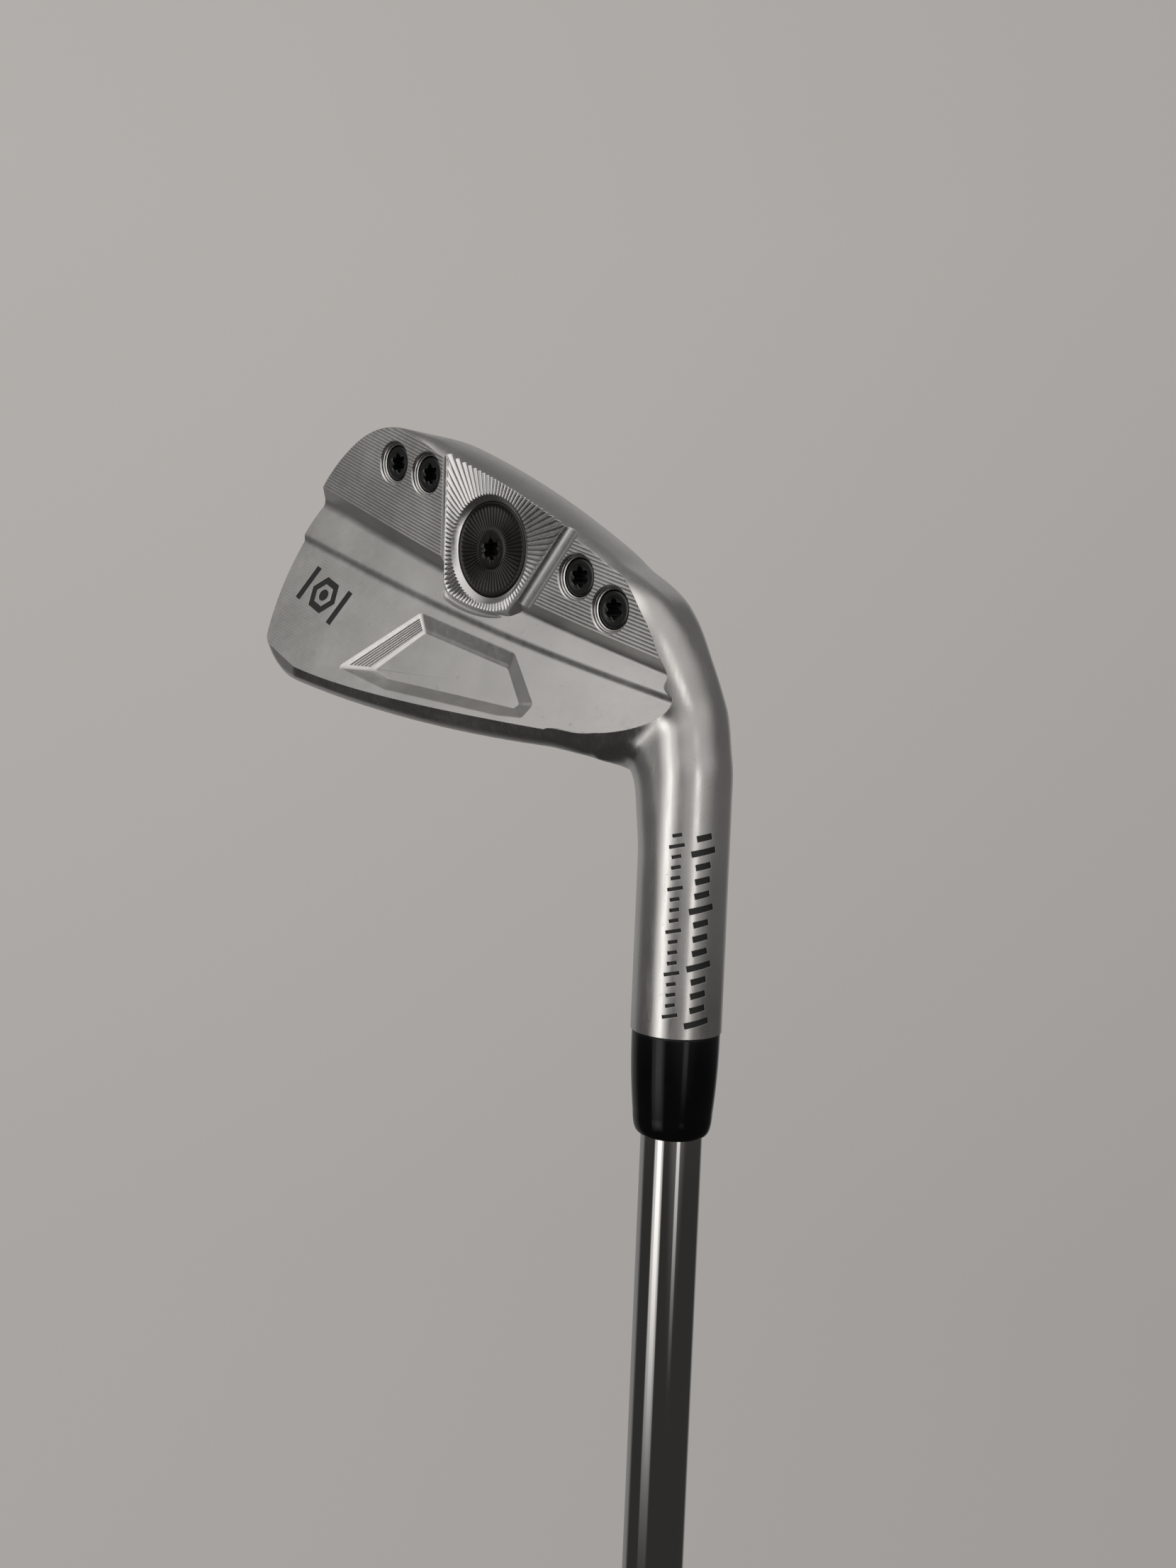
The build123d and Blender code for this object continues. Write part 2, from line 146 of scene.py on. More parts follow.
def boolean(target, cutters, operation="DIFFERENCE"):
    """Cut target with each cutter, which leaves its own material on the faces that it makes."""
    for cutter in cutters:
        mod = target.modifiers.new("cut", "BOOLEAN")
        mod.operation = operation
        mod.solver = "MANIFOLD"
        mod.material_mode = "TRANSFER"
        mod.object = cutter
        deps = bpy.context.evaluated_depsgraph_get()
        me = bpy.data.meshes.new_from_object(target.evaluated_get(deps))
        target.modifiers.clear()
        old = target.data
        if len(me.polygons) == 0:
            raise RuntimeError(f"cutting {target.name} with {cutter.name} left nothing")
        target.data = me
        bpy.data.meshes.remove(old)
        bpy.data.objects.remove(cutter)
    return target


def join(name, obs):
    """One object from several that don't touch."""
    verts, faces = [], []
    for ob in obs:
        n = len(verts)
        verts += [tuple(v.co) for v in ob.data.vertices]
        faces += [tuple(n + i for i in p.vertices) for p in ob.data.polygons]
        bpy.data.objects.remove(ob)
    me = bpy.data.meshes.new(name)
    me.from_pydata(verts, [], faces)
    out = bpy.data.objects.new(name, me)
    bpy.context.scene.collection.objects.link(out)
    return out


def mark(ob, name):
    """A marker material, so that the faces a cutter leaves can be told apart afterwards."""
    m = bpy.data.materials.get(name) or bpy.data.materials.new(name)
    ob.data.materials.clear()
    ob.data.materials.append(m)
    return ob


def shade(ob, angle, seam=3.0):
    """Smooth shading that breaks at sharp edges and where two cuts meet."""
    me = ob.data
    me.shade_smooth()
    count = len(me.polygons)
    slots = np.empty(count, int)
    normals = np.empty(count * 3)
    totals = np.empty(count, int)
    me.polygons.foreach_get("material_index", slots)
    me.polygons.foreach_get("normal", normals)
    me.polygons.foreach_get("loop_total", totals)
    normals = normals.reshape(-1, 3)
    loop_edge = np.empty(len(me.loops), int)
    me.loops.foreach_get("edge_index", loop_edge)
    face = np.repeat(np.arange(count), totals)
    order = np.argsort(loop_edge, kind="stable")
    edge, face = loop_edge[order], face[order]
    pair = np.flatnonzero(edge[1:] == edge[:-1])
    a, b = face[pair], face[pair + 1]
    cosine = (normals[a] * normals[b]).sum(1)
    limit = np.where(slots[a] != slots[b], math.cos(math.radians(seam)), math.cos(math.radians(angle)))
    sharp = np.zeros(len(me.edges), bool)
    sharp[edge[pair[cosine < limit]]] = True
    layer = me.attributes.get("sharp_edge") or me.attributes.new("sharp_edge", "BOOLEAN", "EDGE")
    layer.data.foreach_set("value", sharp)
    return ob


def piece(ob, slot, *replaced):
    """Attach a visible piece of the club to the root body, and hide the CAD nodes that it stands for."""
    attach(ob, "root")
    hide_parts(*replaced)
    return ob


# -------- planes of the milled back
PANEL_X, PANEL_Y = 0.0453, 0.1104  # the panel's slopes along the head and up it


def panel(x, y):
    """The height of the ridged panel near the sole."""
    return 10.24 + PANEL_X * x - PANEL_Y * y


RIDGE_X = (-16.0, 10.0, 34.0, 57.0, 84.0)


def ridge(values):
    """A gentle curve y(x) along the head through the values at RIDGE_X."""
    return np.polynomial.Polynomial.fit(RIDGE_X, values, 4)


slope_top = ridge((10.9, 15.1, 18.0, 19.6, 21.4))
slope_foot = ridge((13.5, 17.8, 21.2, 23.4, 25.6))
step_top = ridge((15.2, 20.8, 25.0, 28.1, 31.4))
step_foot = ridge((16.4, 22.0, 26.3, 29.4, 32.6))
flat_top = ridge((22.0, 33.3, 42.4, 49.2, 50.4))
# heights over the loft plane of the middle band, the flat, the pocket's floor and the face
BAND, FLAT, FLOOR, FACE = 0.3, -0.5, -2.0, -5.2

normal = np.array([-PANEL_X, PANEL_Y, 1.0])
normal /= np.linalg.norm(normal)
across = np.array([1.0, 0.0, 0.0])
across -= normal * across.dot(normal)
across /= np.linalg.norm(across)
upward = np.cross(normal, across)


def on_panel(x, y, u, v, h):
    """Points at (u, v) in the panel plane and h above it, from the panel point at (x, y)."""
    base = np.array([x, y, panel(x, y)])
    u, v, h = np.broadcast_arrays(np.asarray(u, float), v, h)
    return base + u[..., None] * across + v[..., None] * upward + h[..., None] * normal


def on_loft(x, y, h):
    """Points in face view (x, y) that are h behind the plane through z = TAN * y."""
    x, y, h = np.broadcast_arrays(np.asarray(x, float), y, h)
    return np.stack([x, y, TAN * y + h], -1)


# -------- outline of the forging in face view
def arc3(a, b, c, n):
    """Points on the circle through three points, from a to c."""
    a, b, c = (np.array(p, float) for p in (a, b, c))
    d = 2 * (a[0] * (b[1] - c[1]) + b[0] * (c[1] - a[1]) + c[0] * (a[1] - b[1]))
    ux = (a @ a * (b[1] - c[1]) + b @ b * (c[1] - a[1]) + c @ c * (a[1] - b[1])) / d
    uy = (a @ a * (c[0] - b[0]) + b @ b * (a[0] - c[0]) + c @ c * (b[0] - a[0])) / d
    o = np.array([ux, uy])
    t = [math.atan2(*(p - o)[::-1]) for p in (a, b, c)]
    span = (t[2] - t[0]) % (2 * math.pi)
    if (t[1] - t[0]) % (2 * math.pi) > span:
        span -= 2 * math.pi
    s = t[0] + span * np.linspace(0, 1, n)
    return o + np.linalg.norm(a - o) * np.stack([np.cos(s), np.sin(s)], -1)


def arc(centre, r, start, end, n):
    """Points on a circle between two bearings in degrees."""
    s = np.radians(np.linspace(start, end, n))
    return np.array(centre) + r * np.stack([np.cos(s), np.sin(s)], -1)


def bezier(a, b, c, n):
    """Points on the curve from a to c that b pulls towards itself."""
    t = np.linspace(0, 1, n)[:, None]
    a, b, c = (np.array(p, float) for p in (a, b, c))
    return (1 - t) ** 2 * a + 2 * t * (1 - t) * b + t ** 2 * c


def catmull(points, n):
    """A smooth curve through all the points but the first and the last."""
    p = np.array(points, float)
    out = []
    for i in range(1, len(p) - 2):
        t = np.linspace(0, 1, n, endpoint=False)[:, None]
        a, b, c, d = p[i - 1:i + 3]
        square, cube = 2 * a - 5 * b + 4 * c - d, 3 * b - a - 3 * c + d
        out.append(0.5 * (2 * b + (c - a) * t + square * t ** 2 + cube * t ** 3))
    return np.concatenate(out + [p[-2:-1]])


HOSEL_R = 6.93
CROTCH = (-5.1, 36.2)  # the centre of the curve between the hosel and the topline
outer_line = [AXIS * s + OUT * HOSEL_R for s in np.linspace(82, 30, 40)]
inner_line = [AXIS * s - OUT * HOSEL_R for s in np.linspace(42, 82, 40)]
heel = arc((12.0, 40.7), 37.5, 214, 262, 30)
turn = np.linspace(214, 262, len(heel))
swell = np.interp(turn, (214, 226, 236, 242, 249, 255, 262), (-0.75, -0.65, 0.1, 0.75, 1.05, 0.6, 0.0))
heel = heel + swell[:, None] * np.stack([np.cos(np.radians(turn)), np.sin(np.radians(turn))], -1)
sole = arc3((11.0, 2.6), (33.0, 0.8), (53.0, 1.45), 24)
toe = catmull([(50, 1.25), (53.0, 1.45), (62.4, 4.3), (69.0, 9.45), (74.3, 18.1), (76.0, 26.0),
               (74.7, 35.0), (71.9, 42.7), (68.0, 49.4), (65.2, 52.0), (61.0, 52.8), (55, 51.6)], 10)
top = arc3((60.0, 52.7), (33.0, 45.2), (4.0, 33.8), 40)
crotch = arc(CROTCH, 5.2, 292, 212, 16)
# each run of the outline, the radius of its edge, and its share of the sole's camber
runs = [(outer_line, 6.9, 0.0), (heel, 5.0, 0.0), (sole, 4.0, 1.0), (toe, 1.1, 0.0), (top, 1.35, 0.0),
        (crotch, 5.0, 0.0), (inner_line, 6.9, 0.0)]
raw = np.concatenate([np.asarray(p, float) for p, _, _ in runs])
attr = np.concatenate([np.tile([r, c], (len(p), 1)) for p, r, c in runs])
gap = np.r_[0, np.cumsum(np.linalg.norm(np.diff(raw, axis=0), axis=1))]
even = np.arange(0, gap[-1], 0.5)
outline = np.stack([np.interp(even, gap, raw[:, i]) for i in (0, 1)], -1)
rounding = np.stack([np.interp(even, gap, attr[:, i]) for i in (0, 1)], -1)


def blur(a, sigma):
    """Each column of a, smoothed along its length, with both ends held."""
    n = int(4 * sigma)
    k = np.exp(-0.5 * (np.arange(-n, n + 1) / sigma) ** 2)
    k /= k.sum()
    pad = np.concatenate([2 * a[:1] - a[n:0:-1], a, 2 * a[-1:] - a[-2:-n - 2:-1]])
    return np.stack([np.convolve(pad[:, i], k, "valid") for i in range(a.shape[1])], -1)


outline = blur(outline, 2.0)[::2]
rounding = blur(rounding, 11)[::2]


CREST_MAX, BEVEL_FALL = 49.4, 0.42  # the bevel's highest start, and its slope


def plan_exact(x, y):
    """At face-view points: distance inside the outline, edge radius, sole camber, front and rear limits."""
    batch = 20000
    q = np.stack([x, y], -1)
    a = outline
    b = np.roll(outline, -1, 0)
    ab = b - a
    ll = (ab ** 2).sum(1)
    dist = np.empty(len(q))
    rad = np.empty(len(q))
    cam = np.empty(len(q))
    inside = np.empty(len(q), bool)
    for s in range(0, len(q), batch):
        part = slice(s, s + batch)
        p = q[part, None, :]
        t = np.clip(((p - a) * ab).sum(-1) / ll, 0, 1)
        d = ((p - a - t[..., None] * ab) ** 2).sum(-1)
        i = d.argmin(1)
        k = np.arange(len(i))
        dist[part] = np.sqrt(d[k, i])
        f = t[k, i]
        j = (i + 1) % len(a)
        mix = rounding[i] * (1 - f[:, None]) + rounding[j] * f[:, None]
        rad[part], cam[part] = mix[:, 0], mix[:, 1]
        crosses = (a[:, 1] > p[..., 1]) != (b[:, 1] > p[..., 1])
        with np.errstate(divide="ignore", invalid="ignore"):
            at = a[:, 0] + (p[..., 1] - a[:, 1]) / ab[:, 1] * ab[:, 0]
        inside[part] = (crosses & (p[..., 0] < at)).sum(1) % 2 == 1
    dist = np.where(inside, dist, -dist)
    # w turns from 0 in the hosel to 1 in the blade, about the crotch
    angle = np.degrees(np.arctan2(y - CROTCH[1], x - CROTCH[0])) % 360
    angle = np.where(angle < 100, angle + 360, angle)
    w = smooth((angle - 242.5) / 41)
    # before milling the back lies just over the panel and the flat, joined by a curve k wide
    rear_low = panel(x, y) + 2.2 - 1.7 * smooth((x - 30) / 30)
    rear_high = TAN * y + FLAT + 0.9
    k = 2.5
    rear_blade = np.logaddexp(rear_low / k, rear_high / k) * k
    # and it falls away in a bevel beyond the crest under the topline
    crest = np.minimum(flat_top(x), CREST_MAX) - 0.03 * np.maximum(1 - x, 0) ** 2
    lift = 3.4 * smooth((-2 - x) / 8)
    bevel = TAN * crest + FLAT + lift - BEVEL_FALL * (y - crest)
    k = 0.12
    rear_blade = -np.logaddexp(-rear_blade / k, -bevel / k) * k
    rear = (1 - w) * HOSEL_R + w * rear_blade
    front = -(1 - w) * HOSEL_R + w * (TAN * y + FACE)
    return dist, rad, cam, w, front, rear


CAMBER_Z, CAMBER_R = 3.5, 16.0  # the lowest line of the sole, and its radius from front to back


def solid_value(plan, z):
    """Negative inside the forging, zero on its surface."""
    dist, rad, cam, w, front, rear = plan
    scale = 1 / np.sqrt(1 + (TAN * w) ** 2)
    half = (rear - front) / 2 * scale
    r = np.minimum((1 - w) * HOSEL_R + w * rad, half)
    camber = cam * w * (z - CAMBER_Z) ** 2 / (2 * CAMBER_R)
    v1 = camber - dist + r
    v2 = np.maximum(z - rear, front - z) * scale + r
    return np.hypot(np.maximum(v1, 0), np.maximum(v2, 0)) + np.minimum(np.maximum(v1, v2), 0) - r


PLAN_STEP = 0.25
PLAN_LOW = np.array([-49.0, -2.5])
plan_x, plan_y = (np.arange(lo, hi, PLAN_STEP) for lo, hi in zip(PLAN_LOW, (78.0, 77.0)))
mesh_x, mesh_y = np.meshgrid(plan_x, plan_y, indexing="ij")
plan_table = np.stack(plan_exact(mesh_x.ravel(), mesh_y.ravel()), -1).reshape(*mesh_x.shape, -1)


def plan_fields(x, y):
    """The same fields, read between the points of a fine table."""
    u = (np.stack([x, y], -1) - PLAN_LOW) / PLAN_STEP
    i = np.clip(u.astype(int), 0, np.array(mesh_x.shape) - 2)
    f = u - i
    a, b = f[:, :1], f[:, 1:]
    i, j = i[:, 0], i[:, 1]
    mix = (plan_table[i, j] * (1 - a) + plan_table[i + 1, j] * a) * (1 - b)
    mix = mix + (plan_table[i, j + 1] * (1 - a) + plan_table[i + 1, j + 1] * a) * b
    return mix.T


def blank_value(p):
    """The forging's field at points."""
    return solid_value(plan_fields(p[:, 0], p[:, 1]), p[:, 2])


def surface_net(value, origin, h):
    """Quads that wrap the region where value is negative on a regular grid."""
    inside = value < 0
    shape = np.array(value.shape) - 1
    count = np.zeros(shape, np.int8)
    for i, j, k in np.ndindex(2, 2, 2):
        count += inside[i:i + shape[0], j:j + shape[1], k:k + shape[2]]
    mixed = (count > 0) & (count < 8)
    index = np.full(mixed.shape, -1)
    index[mixed] = np.arange(mixed.sum())
    cell = np.argwhere(mixed)
    total = np.zeros((len(cell), 3))
    hits = np.zeros(len(cell))
    units = np.eye(3, dtype=int)
    for axis in range(3):
        step = units[axis]
        others = [o for o in range(3) if o != axis]
        for a in (0, 1):
            for b in (0, 1):
                start = np.zeros(3, int)
                start[others[0]], start[others[1]] = a, b
                p = cell + start
                v0 = value[tuple(p.T)]
                v1 = value[tuple((p + step).T)]
                hit = (v0 < 0) != (v1 < 0)
                t = np.where(hit, v0 / np.where(hit, v0 - v1, 1), 0)
                total += hit[:, None] * (start + t[:, None] * step)
                hits += hit
    verts = origin + h * (cell + total / hits[:, None])
    faces = []
    for axis in range(3):
        u, v = units[(axis + 1) % 3], units[(axis + 2) % 3]
        span = [slice(1, -1)] * 3
        span[axis] = slice(0, -1)
        first = inside[tuple(span)]
        nxt = [slice(1, -1)] * 3
        nxt[axis] = slice(1, None)
        second = inside[tuple(nxt)]
        low = np.array([s.start for s in span])
        for flag, flip in ((first & ~second, False), (~first & second, True)):
            p = np.argwhere(flag) + low
            around = ((1, 1), (0, 1), (0, 0), (1, 0))
            quad = np.stack([index[tuple((p - a * u - b * v).T)] for a, b in around], -1)
            faces.append(quad[:, ::-1] if flip else quad)
    return verts, np.concatenate(faces)


def forge():
    """The smooth forging before it is milled: a grid of h mm, with its points then drawn onto the field."""
    h = 0.45
    low, high = np.array([-48.0, -1.5, -8.2]), np.array([77.0, 76.0, 20.0])
    xs, ys, zs = (np.arange(low[i], high[i], h) for i in range(3))
    gx, gy = np.meshgrid(xs, ys, indexing="ij")
    plan = [f.reshape(gx.shape)[..., None] for f in plan_fields(gx.ravel(), gy.ravel())]
    value = solid_value(plan, zs)
    verts, faces = surface_net(value, low, h)
    nudges = np.eye(3) * 0.01
    for _ in range(3):
        f0 = blank_value(verts)
        grad = np.stack([(blank_value(verts + d) - blank_value(verts - d)) / 0.02 for d in nudges], -1)
        verts = verts - grad * (f0 / np.maximum((grad ** 2).sum(1), 0.2))[:, None]
    return fix(make("iron_head", verts, faces))


# -------- cutters
def scallop(u):
    """Depth, from 0 to 1, across one pass of a round cutter."""
    u = u % 1.0
    return 1 - (2 * u - 1) ** 2


def ridge_cutter():
    """All that is milled off the back: the ridged panel, the slope, the band, the step and the flat."""
    pitch, depth, passes, samples = 0.56, 0.055, 46, 6
    flat_depth, flat_passes, flat_samples = 0.02, 40, 4
    lines = -(np.arange(passes * samples + 1) / samples)[::-1] * pitch
    foot, straight = 0.74, 0.62  # where the slope starts to bend into the band, and how much is straight
    soft = 0.25  # how far the step's curve reaches beyond its edges
    low = []
    for x in np.linspace(-24, 79, 70):
        a, b = slope_top(x), slope_foot(x)
        c, d, e = step_top(x), step_foot(x), flat_top(x)
        za, zb = panel(x, a), TAN * b + BAND
        y = list(a + lines)
        z = list(panel(x, a + lines) - depth * scallop(-lines / pitch))
        bend = a + foot * (b - a)
        low_bend = TAN * bend + BAND - 0.05
        for t in np.linspace(0, 1, 5)[1:-1] * straight:
            y.append(a + (bend - a) * t)
            z.append(za + (low_bend - za) * t)
        start = np.array([a + (bend - a) * straight, za + (low_bend - za) * straight])
        curve = bezier(start, (bend, low_bend), (b, zb), 12)
        y += list(curve[:, 0])
        z += list(curve[:, 1])
        band = b + (c - soft - b) * np.linspace(0, 1, 8)[1:]
        y += list(band)
        z += list(TAN * band + BAND)
        t = np.linspace(0, 1, 12)[1:]
        step = c - soft + (d - c + 2 * soft) * t
        y += list(step)
        z += list(TAN * step + BAND + (FLAT - BAND) * smooth(t))
        count = flat_passes * flat_samples
        flat = d + soft + (e - d - soft) * np.linspace(0, 1, count + 1)[1:]
        y += list(flat)
        z += list(TAN * flat + FLAT - flat_depth * scallop(np.arange(1, count + 1) / flat_samples))
        for out in (1.0, 6.0, 30.0):
            y.append(e + out)
            z.append(TAN * (e + out) + FLAT)
        low.append(np.stack([np.full(len(y), x), y, z], -1))
    low = np.array(low)
    high = low.copy()
    high[..., 2] = 45.0
    return sheet_solid("ridges", low, high)


def prism(name, points, low, high):
    """An upright solid on a closed face-view outline."""
    p = np.array(points, float)
    n = len(p)
    verts = np.concatenate([np.c_[p, np.full(n, z)] for z in (low, high)])
    faces = [list(range(n))[::-1], list(range(n, 2 * n))]
    faces += [[i, (i + 1) % n, n + (i + 1) % n, n + i] for i in range(n)]
    return fix(make(name, verts, faces))


def milled_region():
    """The part of the back that is milled, bounded at the heel by the neck."""
    crotch_side = catmull([(6.0, 36.0), (5.0, 31.2), (-1.0, 28.4), (-6.6, 24.6), (-10.4, 20.3), (-11.2, 17.4),
                           (-9.4, 16.2)], 10)[:-1]
    notch = np.concatenate([
        bezier((-11.2, 17.4), (-11.2, 16.6), (-10.3, 16.4), 5)[1:],
        bezier((-10.3, 16.4), (-9.2, 16.0), (-9.2, 15.0), 6)[1:],
        bezier((-9.2, 15.0), (-9.2, 14.3), (-8.8, 13.8), 5)[1:]])
    sole_side = catmull([(-9.2, 14.8), (-8.8, 13.8), (-6.8, 12.0), (-2.8, 8.3), (4.0, 4.9), (17.6, 2.4),
                         (30, 0)], 12)
    far = [(17.6, -20), (100, -20), (100, 80), (5.0, 80)]
    return prism("region", np.concatenate([crotch_side, notch, sole_side[1:], far]), -60, 60)


def rounded(points, radii, n):
    """A closed outline with its corners rounded."""
    p = np.array(points, float)
    out = []
    for i in range(len(p)):
        a, b, c = p[i - 1], p[i], p[(i + 1) % len(p)]
        u, v = (a - b) / np.linalg.norm(a - b), (c - b) / np.linalg.norm(c - b)
        half = math.acos(np.clip(u @ v, -1, 1)) / 2
        cut = min(radii[i] / math.tan(half), 0.45 * np.linalg.norm(a - b), 0.45 * np.linalg.norm(c - b))
        s, e = b + u * cut, b + v * cut
        for t in np.linspace(0, 1, n):
            out.append((1 - t) ** 2 * s + 2 * t * (1 - t) * b + t ** 2 * e)
    return np.array(out)


def offset(p, d):
    """A closed outline moved outwards by d."""
    t = np.roll(p, -1, 0) - np.roll(p, 1, 0)
    n = np.stack([t[:, 1], -t[:, 0]], -1)
    n /= np.linalg.norm(n, axis=1)[:, None]
    area = (p[:, 0] * np.roll(p[:, 1], -1) - np.roll(p[:, 0], -1) * p[:, 1]).sum()
    return p + n * d * (1 if area > 0 else -1)


DISC = (32.0, 13.25)  # the disc weight's centre
DISC_R = 7.75
DISC_SINK = 0.68  # the disc's face below the pad's
SINK = 0.6  # the pad's face below the ridged panel
bottom = arc3((37.6, 23.7), (31.0, 23.15), (24.5, 20.95), 22)
pad_corners = [(51.9, -8.0), (39.35, 22.5), *bottom, (23.75, 20.5), (22.1, 16.3), (18.5, 4.6), (14.8, -8.0)]
pad_radii = [1.2, 1.6] + [1.0] * len(bottom) + [0.8, 1.2, 1.2, 1.2]
pad_points = rounded(pad_corners, pad_radii, 5) - np.array(DISC)


def pad_solid(name, levels):
    """A solid on the pad's outline; levels are (height, outward offset) pairs."""
    return rings_solid(name, [on_panel(*DISC, *offset(pad_points, d).T, h) for h, d in levels])


def pad_island():
    """What the ridge cutter leaves standing for the pad, with its flared foot."""
    return pad_solid("island", (
        (-5.0, 5.2), (-3.2, 3.2), (-2.4, 2.2), (-1.8, 1.4), (-1.3, 0.8),
        (-0.95, 0.38), (-0.75, 0.14), (-SINK, 0.0), (0.0, 0.24), (12.0, 0.24)))


def edge_distance(theta):
    """From the disc centre to the pad's outline along each direction."""
    a, b = pad_points, np.roll(pad_points, -1, 0)
    u = np.stack([np.cos(theta), np.sin(theta)], -1)[:, None, :]
    ab = b - a
    cross = u[..., 0] * ab[:, 1] - u[..., 1] * ab[:, 0]
    with np.errstate(divide="ignore", invalid="ignore"):
        r = (a[:, 0] * ab[:, 1] - a[:, 1] * ab[:, 0]) / cross
        t = (a[:, 0] * u[..., 1] - a[:, 1] * u[..., 0]) / cross
    r = np.where((t >= 0) & (t <= 1) & (r > 0), r, np.inf)
    return r.min(1)


def panel_circle(centre, r, s, h):
    """Points h above the panel, about its normal at the centre, at the bearings s."""
    return on_panel(*centre, r * np.cos(s), r * np.sin(s), h)


def pad_void():
    """The pad's face: flutes that spread out from the disc to the pad's edge."""
    count, samples = 86, 8
    depth, start = 0.024, 9.0  # the flutes' depth over their radius, and the radius where they start
    theta = np.arange(count * samples) / (count * samples) * 2 * math.pi
    edge = edge_distance(theta)
    wave = scallop(np.arange(len(theta)) / samples)
    # the flutes run out just inside the rim, further in along the channel
    x, y = edge * np.cos(theta) + DISC[0], edge * np.sin(theta) + DISC[1]
    rim = np.where((x < 25.5) & (y > 2.5), 0.42, 0.1)
    rim = np.convolve(np.r_[rim[-8:], rim, rim[:8]], np.ones(17) / 17, "valid")
    rings = [(r, -SINK - depth * r * wave) for r in (5.0, 8.0)]
    for f in (0.0, 0.12, 0.25, 0.4, 0.55, 0.7, 0.82, 0.9, 0.95, 0.98, 1.0):
        r = start + (edge - rim - start) * f
        fade = np.clip((1 - f) * (edge - rim - start) / 0.9, 0, 1) ** 0.6
        rings.append((r, -SINK - 0.0005 - depth * r * wave * fade))
    rings += [(edge + 0.2, -SINK), (edge + 6.0, -SINK), (edge + 6.0, 14.0)]
    column = pad_solid("column", ((-4.0, 0.03), (-SINK, 0.03), (0.0, 0.27), (1.0, 0.67), (12.0, 0.67)))
    flutes = rings_solid("flutes", [panel_circle(DISC, r, theta, h) for r, h in rings])
    return boolean(flutes, [column], "INTERSECT")


def moat():
    """A shallow groove round the foot of the pad, run out at both ends."""
    in_view = pad_points + np.array(DISC)
    ends = [np.argmin(np.hypot(*(in_view - end).T)) for end in ((40.9, 18.7), (22.6, 17.5))]
    path = pad_points[min(ends):max(ends) + 1]
    path = np.concatenate([path[:1] + (path[:1] - path[1:2]) * 0.02, path])
    gap = np.r_[0, np.cumsum(np.linalg.norm(np.diff(path, axis=0), axis=1))]
    even = np.linspace(0, gap[-1], 70)
    path = np.stack([np.interp(even, gap, path[:, i]) for i in (0, 1)], -1)
    t = np.gradient(path, axis=0)
    n = np.stack([t[:, 1], -t[:, 0]], -1)
    n /= np.linalg.norm(n, axis=1)[:, None]
    if ((path + n) ** 2).sum() < (path ** 2).sum():
        n = -n
    profile = np.array([
        (-0.02, -0.5), (0.02, -0.6), (0.14, -0.74), (0.32, -0.84), (0.52, -0.86), (0.72, -0.78), (0.88, -0.58),
        (0.97, -0.3), (1.05, 0.1), (1.18, 0.8), (1.3, 1.4), (0.6, 1.4), (-0.02, 1.4)])
    rings = []
    for i in range(len(path)):
        g = smooth(min(i, len(path) - 1 - i) / 9.0)
        d, h = profile[:, 0] * (0.35 + 0.65 * g), profile[:, 1] + 0.5 * (1 - g)
        rings.append(on_panel(*DISC, path[i, 0] + n[i, 0] * d, path[i, 1] + n[i, 1] * d, h))
    return rings_solid("moat", rings)


def turned(name, x, y, profile, n=64):
    """A solid of revolution about the panel's normal at (x, y); profile is (radius, height) pairs."""
    return rings_solid(name, [panel_circle((x, y), r, bearings(n), h) for r, h in profile])


def channel():
    """The round-bottomed channel on the heel side of the pad."""
    a, b = (np.array([x, y, panel(x, y) + 0.85]) for x, y in ((16.1, 0.6), (21.65, 20.4)))
    d = (b - a) / np.linalg.norm(b - a)
    u = np.cross(d, normal)
    u /= np.linalg.norm(u)
    v = np.cross(d, u)
    s = bearings(96)
    r = 2.1
    ring = r * np.cos(s)[:, None] * u + r * np.sin(s)[:, None] * v
    ends = [a - d * 4 + ring, b - d * 0.4 + ring, b + ring * 0.8, b + d * 0.3 + ring * 0.4]
    return rings_solid("channel", ends)


def pocket():
    """The pocket in the flat: sloping walls, one of them grooved across, down to a flat floor."""
    rim = rounded([(48.7, 44.4), (40.4, 29.0), (18.8, 25.2), (9.7, 29.6), (10.0, 32.0), (14.2, 34.0),
                   (37.1, 42.2)], (0.5, 1.4, 1.8, 0.9, 0.7, 2.0, 4.0), 8)
    floor = rounded([(42.6, 41.4), (38.2, 31.6), (18.9, 28.0), (12.7, 31.2), (13.2, 32.2), (16.7, 33.4),
                     (39.0, 41.2)], (0.4, 0.9, 1.2, 0.5, 0.4, 1.0, 1.5), 8)
    # one long run of points along each wall, so that the grooved ramp is its own set of rows
    rim, floor = (
        np.array([(1 - t) * a + t * b for a, b in zip(run, np.roll(run, -1, 0)) for t in (0.0, 0.5)])
        for run in (rim, floor))
    ramp = np.zeros(len(rim))
    ramp[14:17] = 1.0
    rings = [on_loft(*offset(rim, 1.6).T, FLAT + 4.0)]
    steps = np.r_[0.0, 0.03, 0.08, 0.14, np.linspace(0.18, 0.8, 46), 0.86, 0.92, 0.97, 1.0]
    for out, up in ((0.5, 0.1), (0.32, 0.03), (0.16, -0.02)):
        rings.append(on_loft(*offset(rim, out).T, FLAT + up))
    for k in steps:
        grooves = 0.13 * scallop((k - 0.18) / 0.62 * 6.0) if 0.18 < k < 0.8 else 0.0
        sink = (FLOOR - FLAT) * k - 0.07 + 0.07 * smooth((k - 0.7) / 0.3)
        rings.append(on_loft(*(rim * (1 - k) + floor * k).T, FLAT + sink - grooves * ramp))
    for inset in (0.15, 0.3):
        rings.append(on_loft(*offset(floor, -inset).T, FLOOR))
    return rings_solid("pocket", rings)


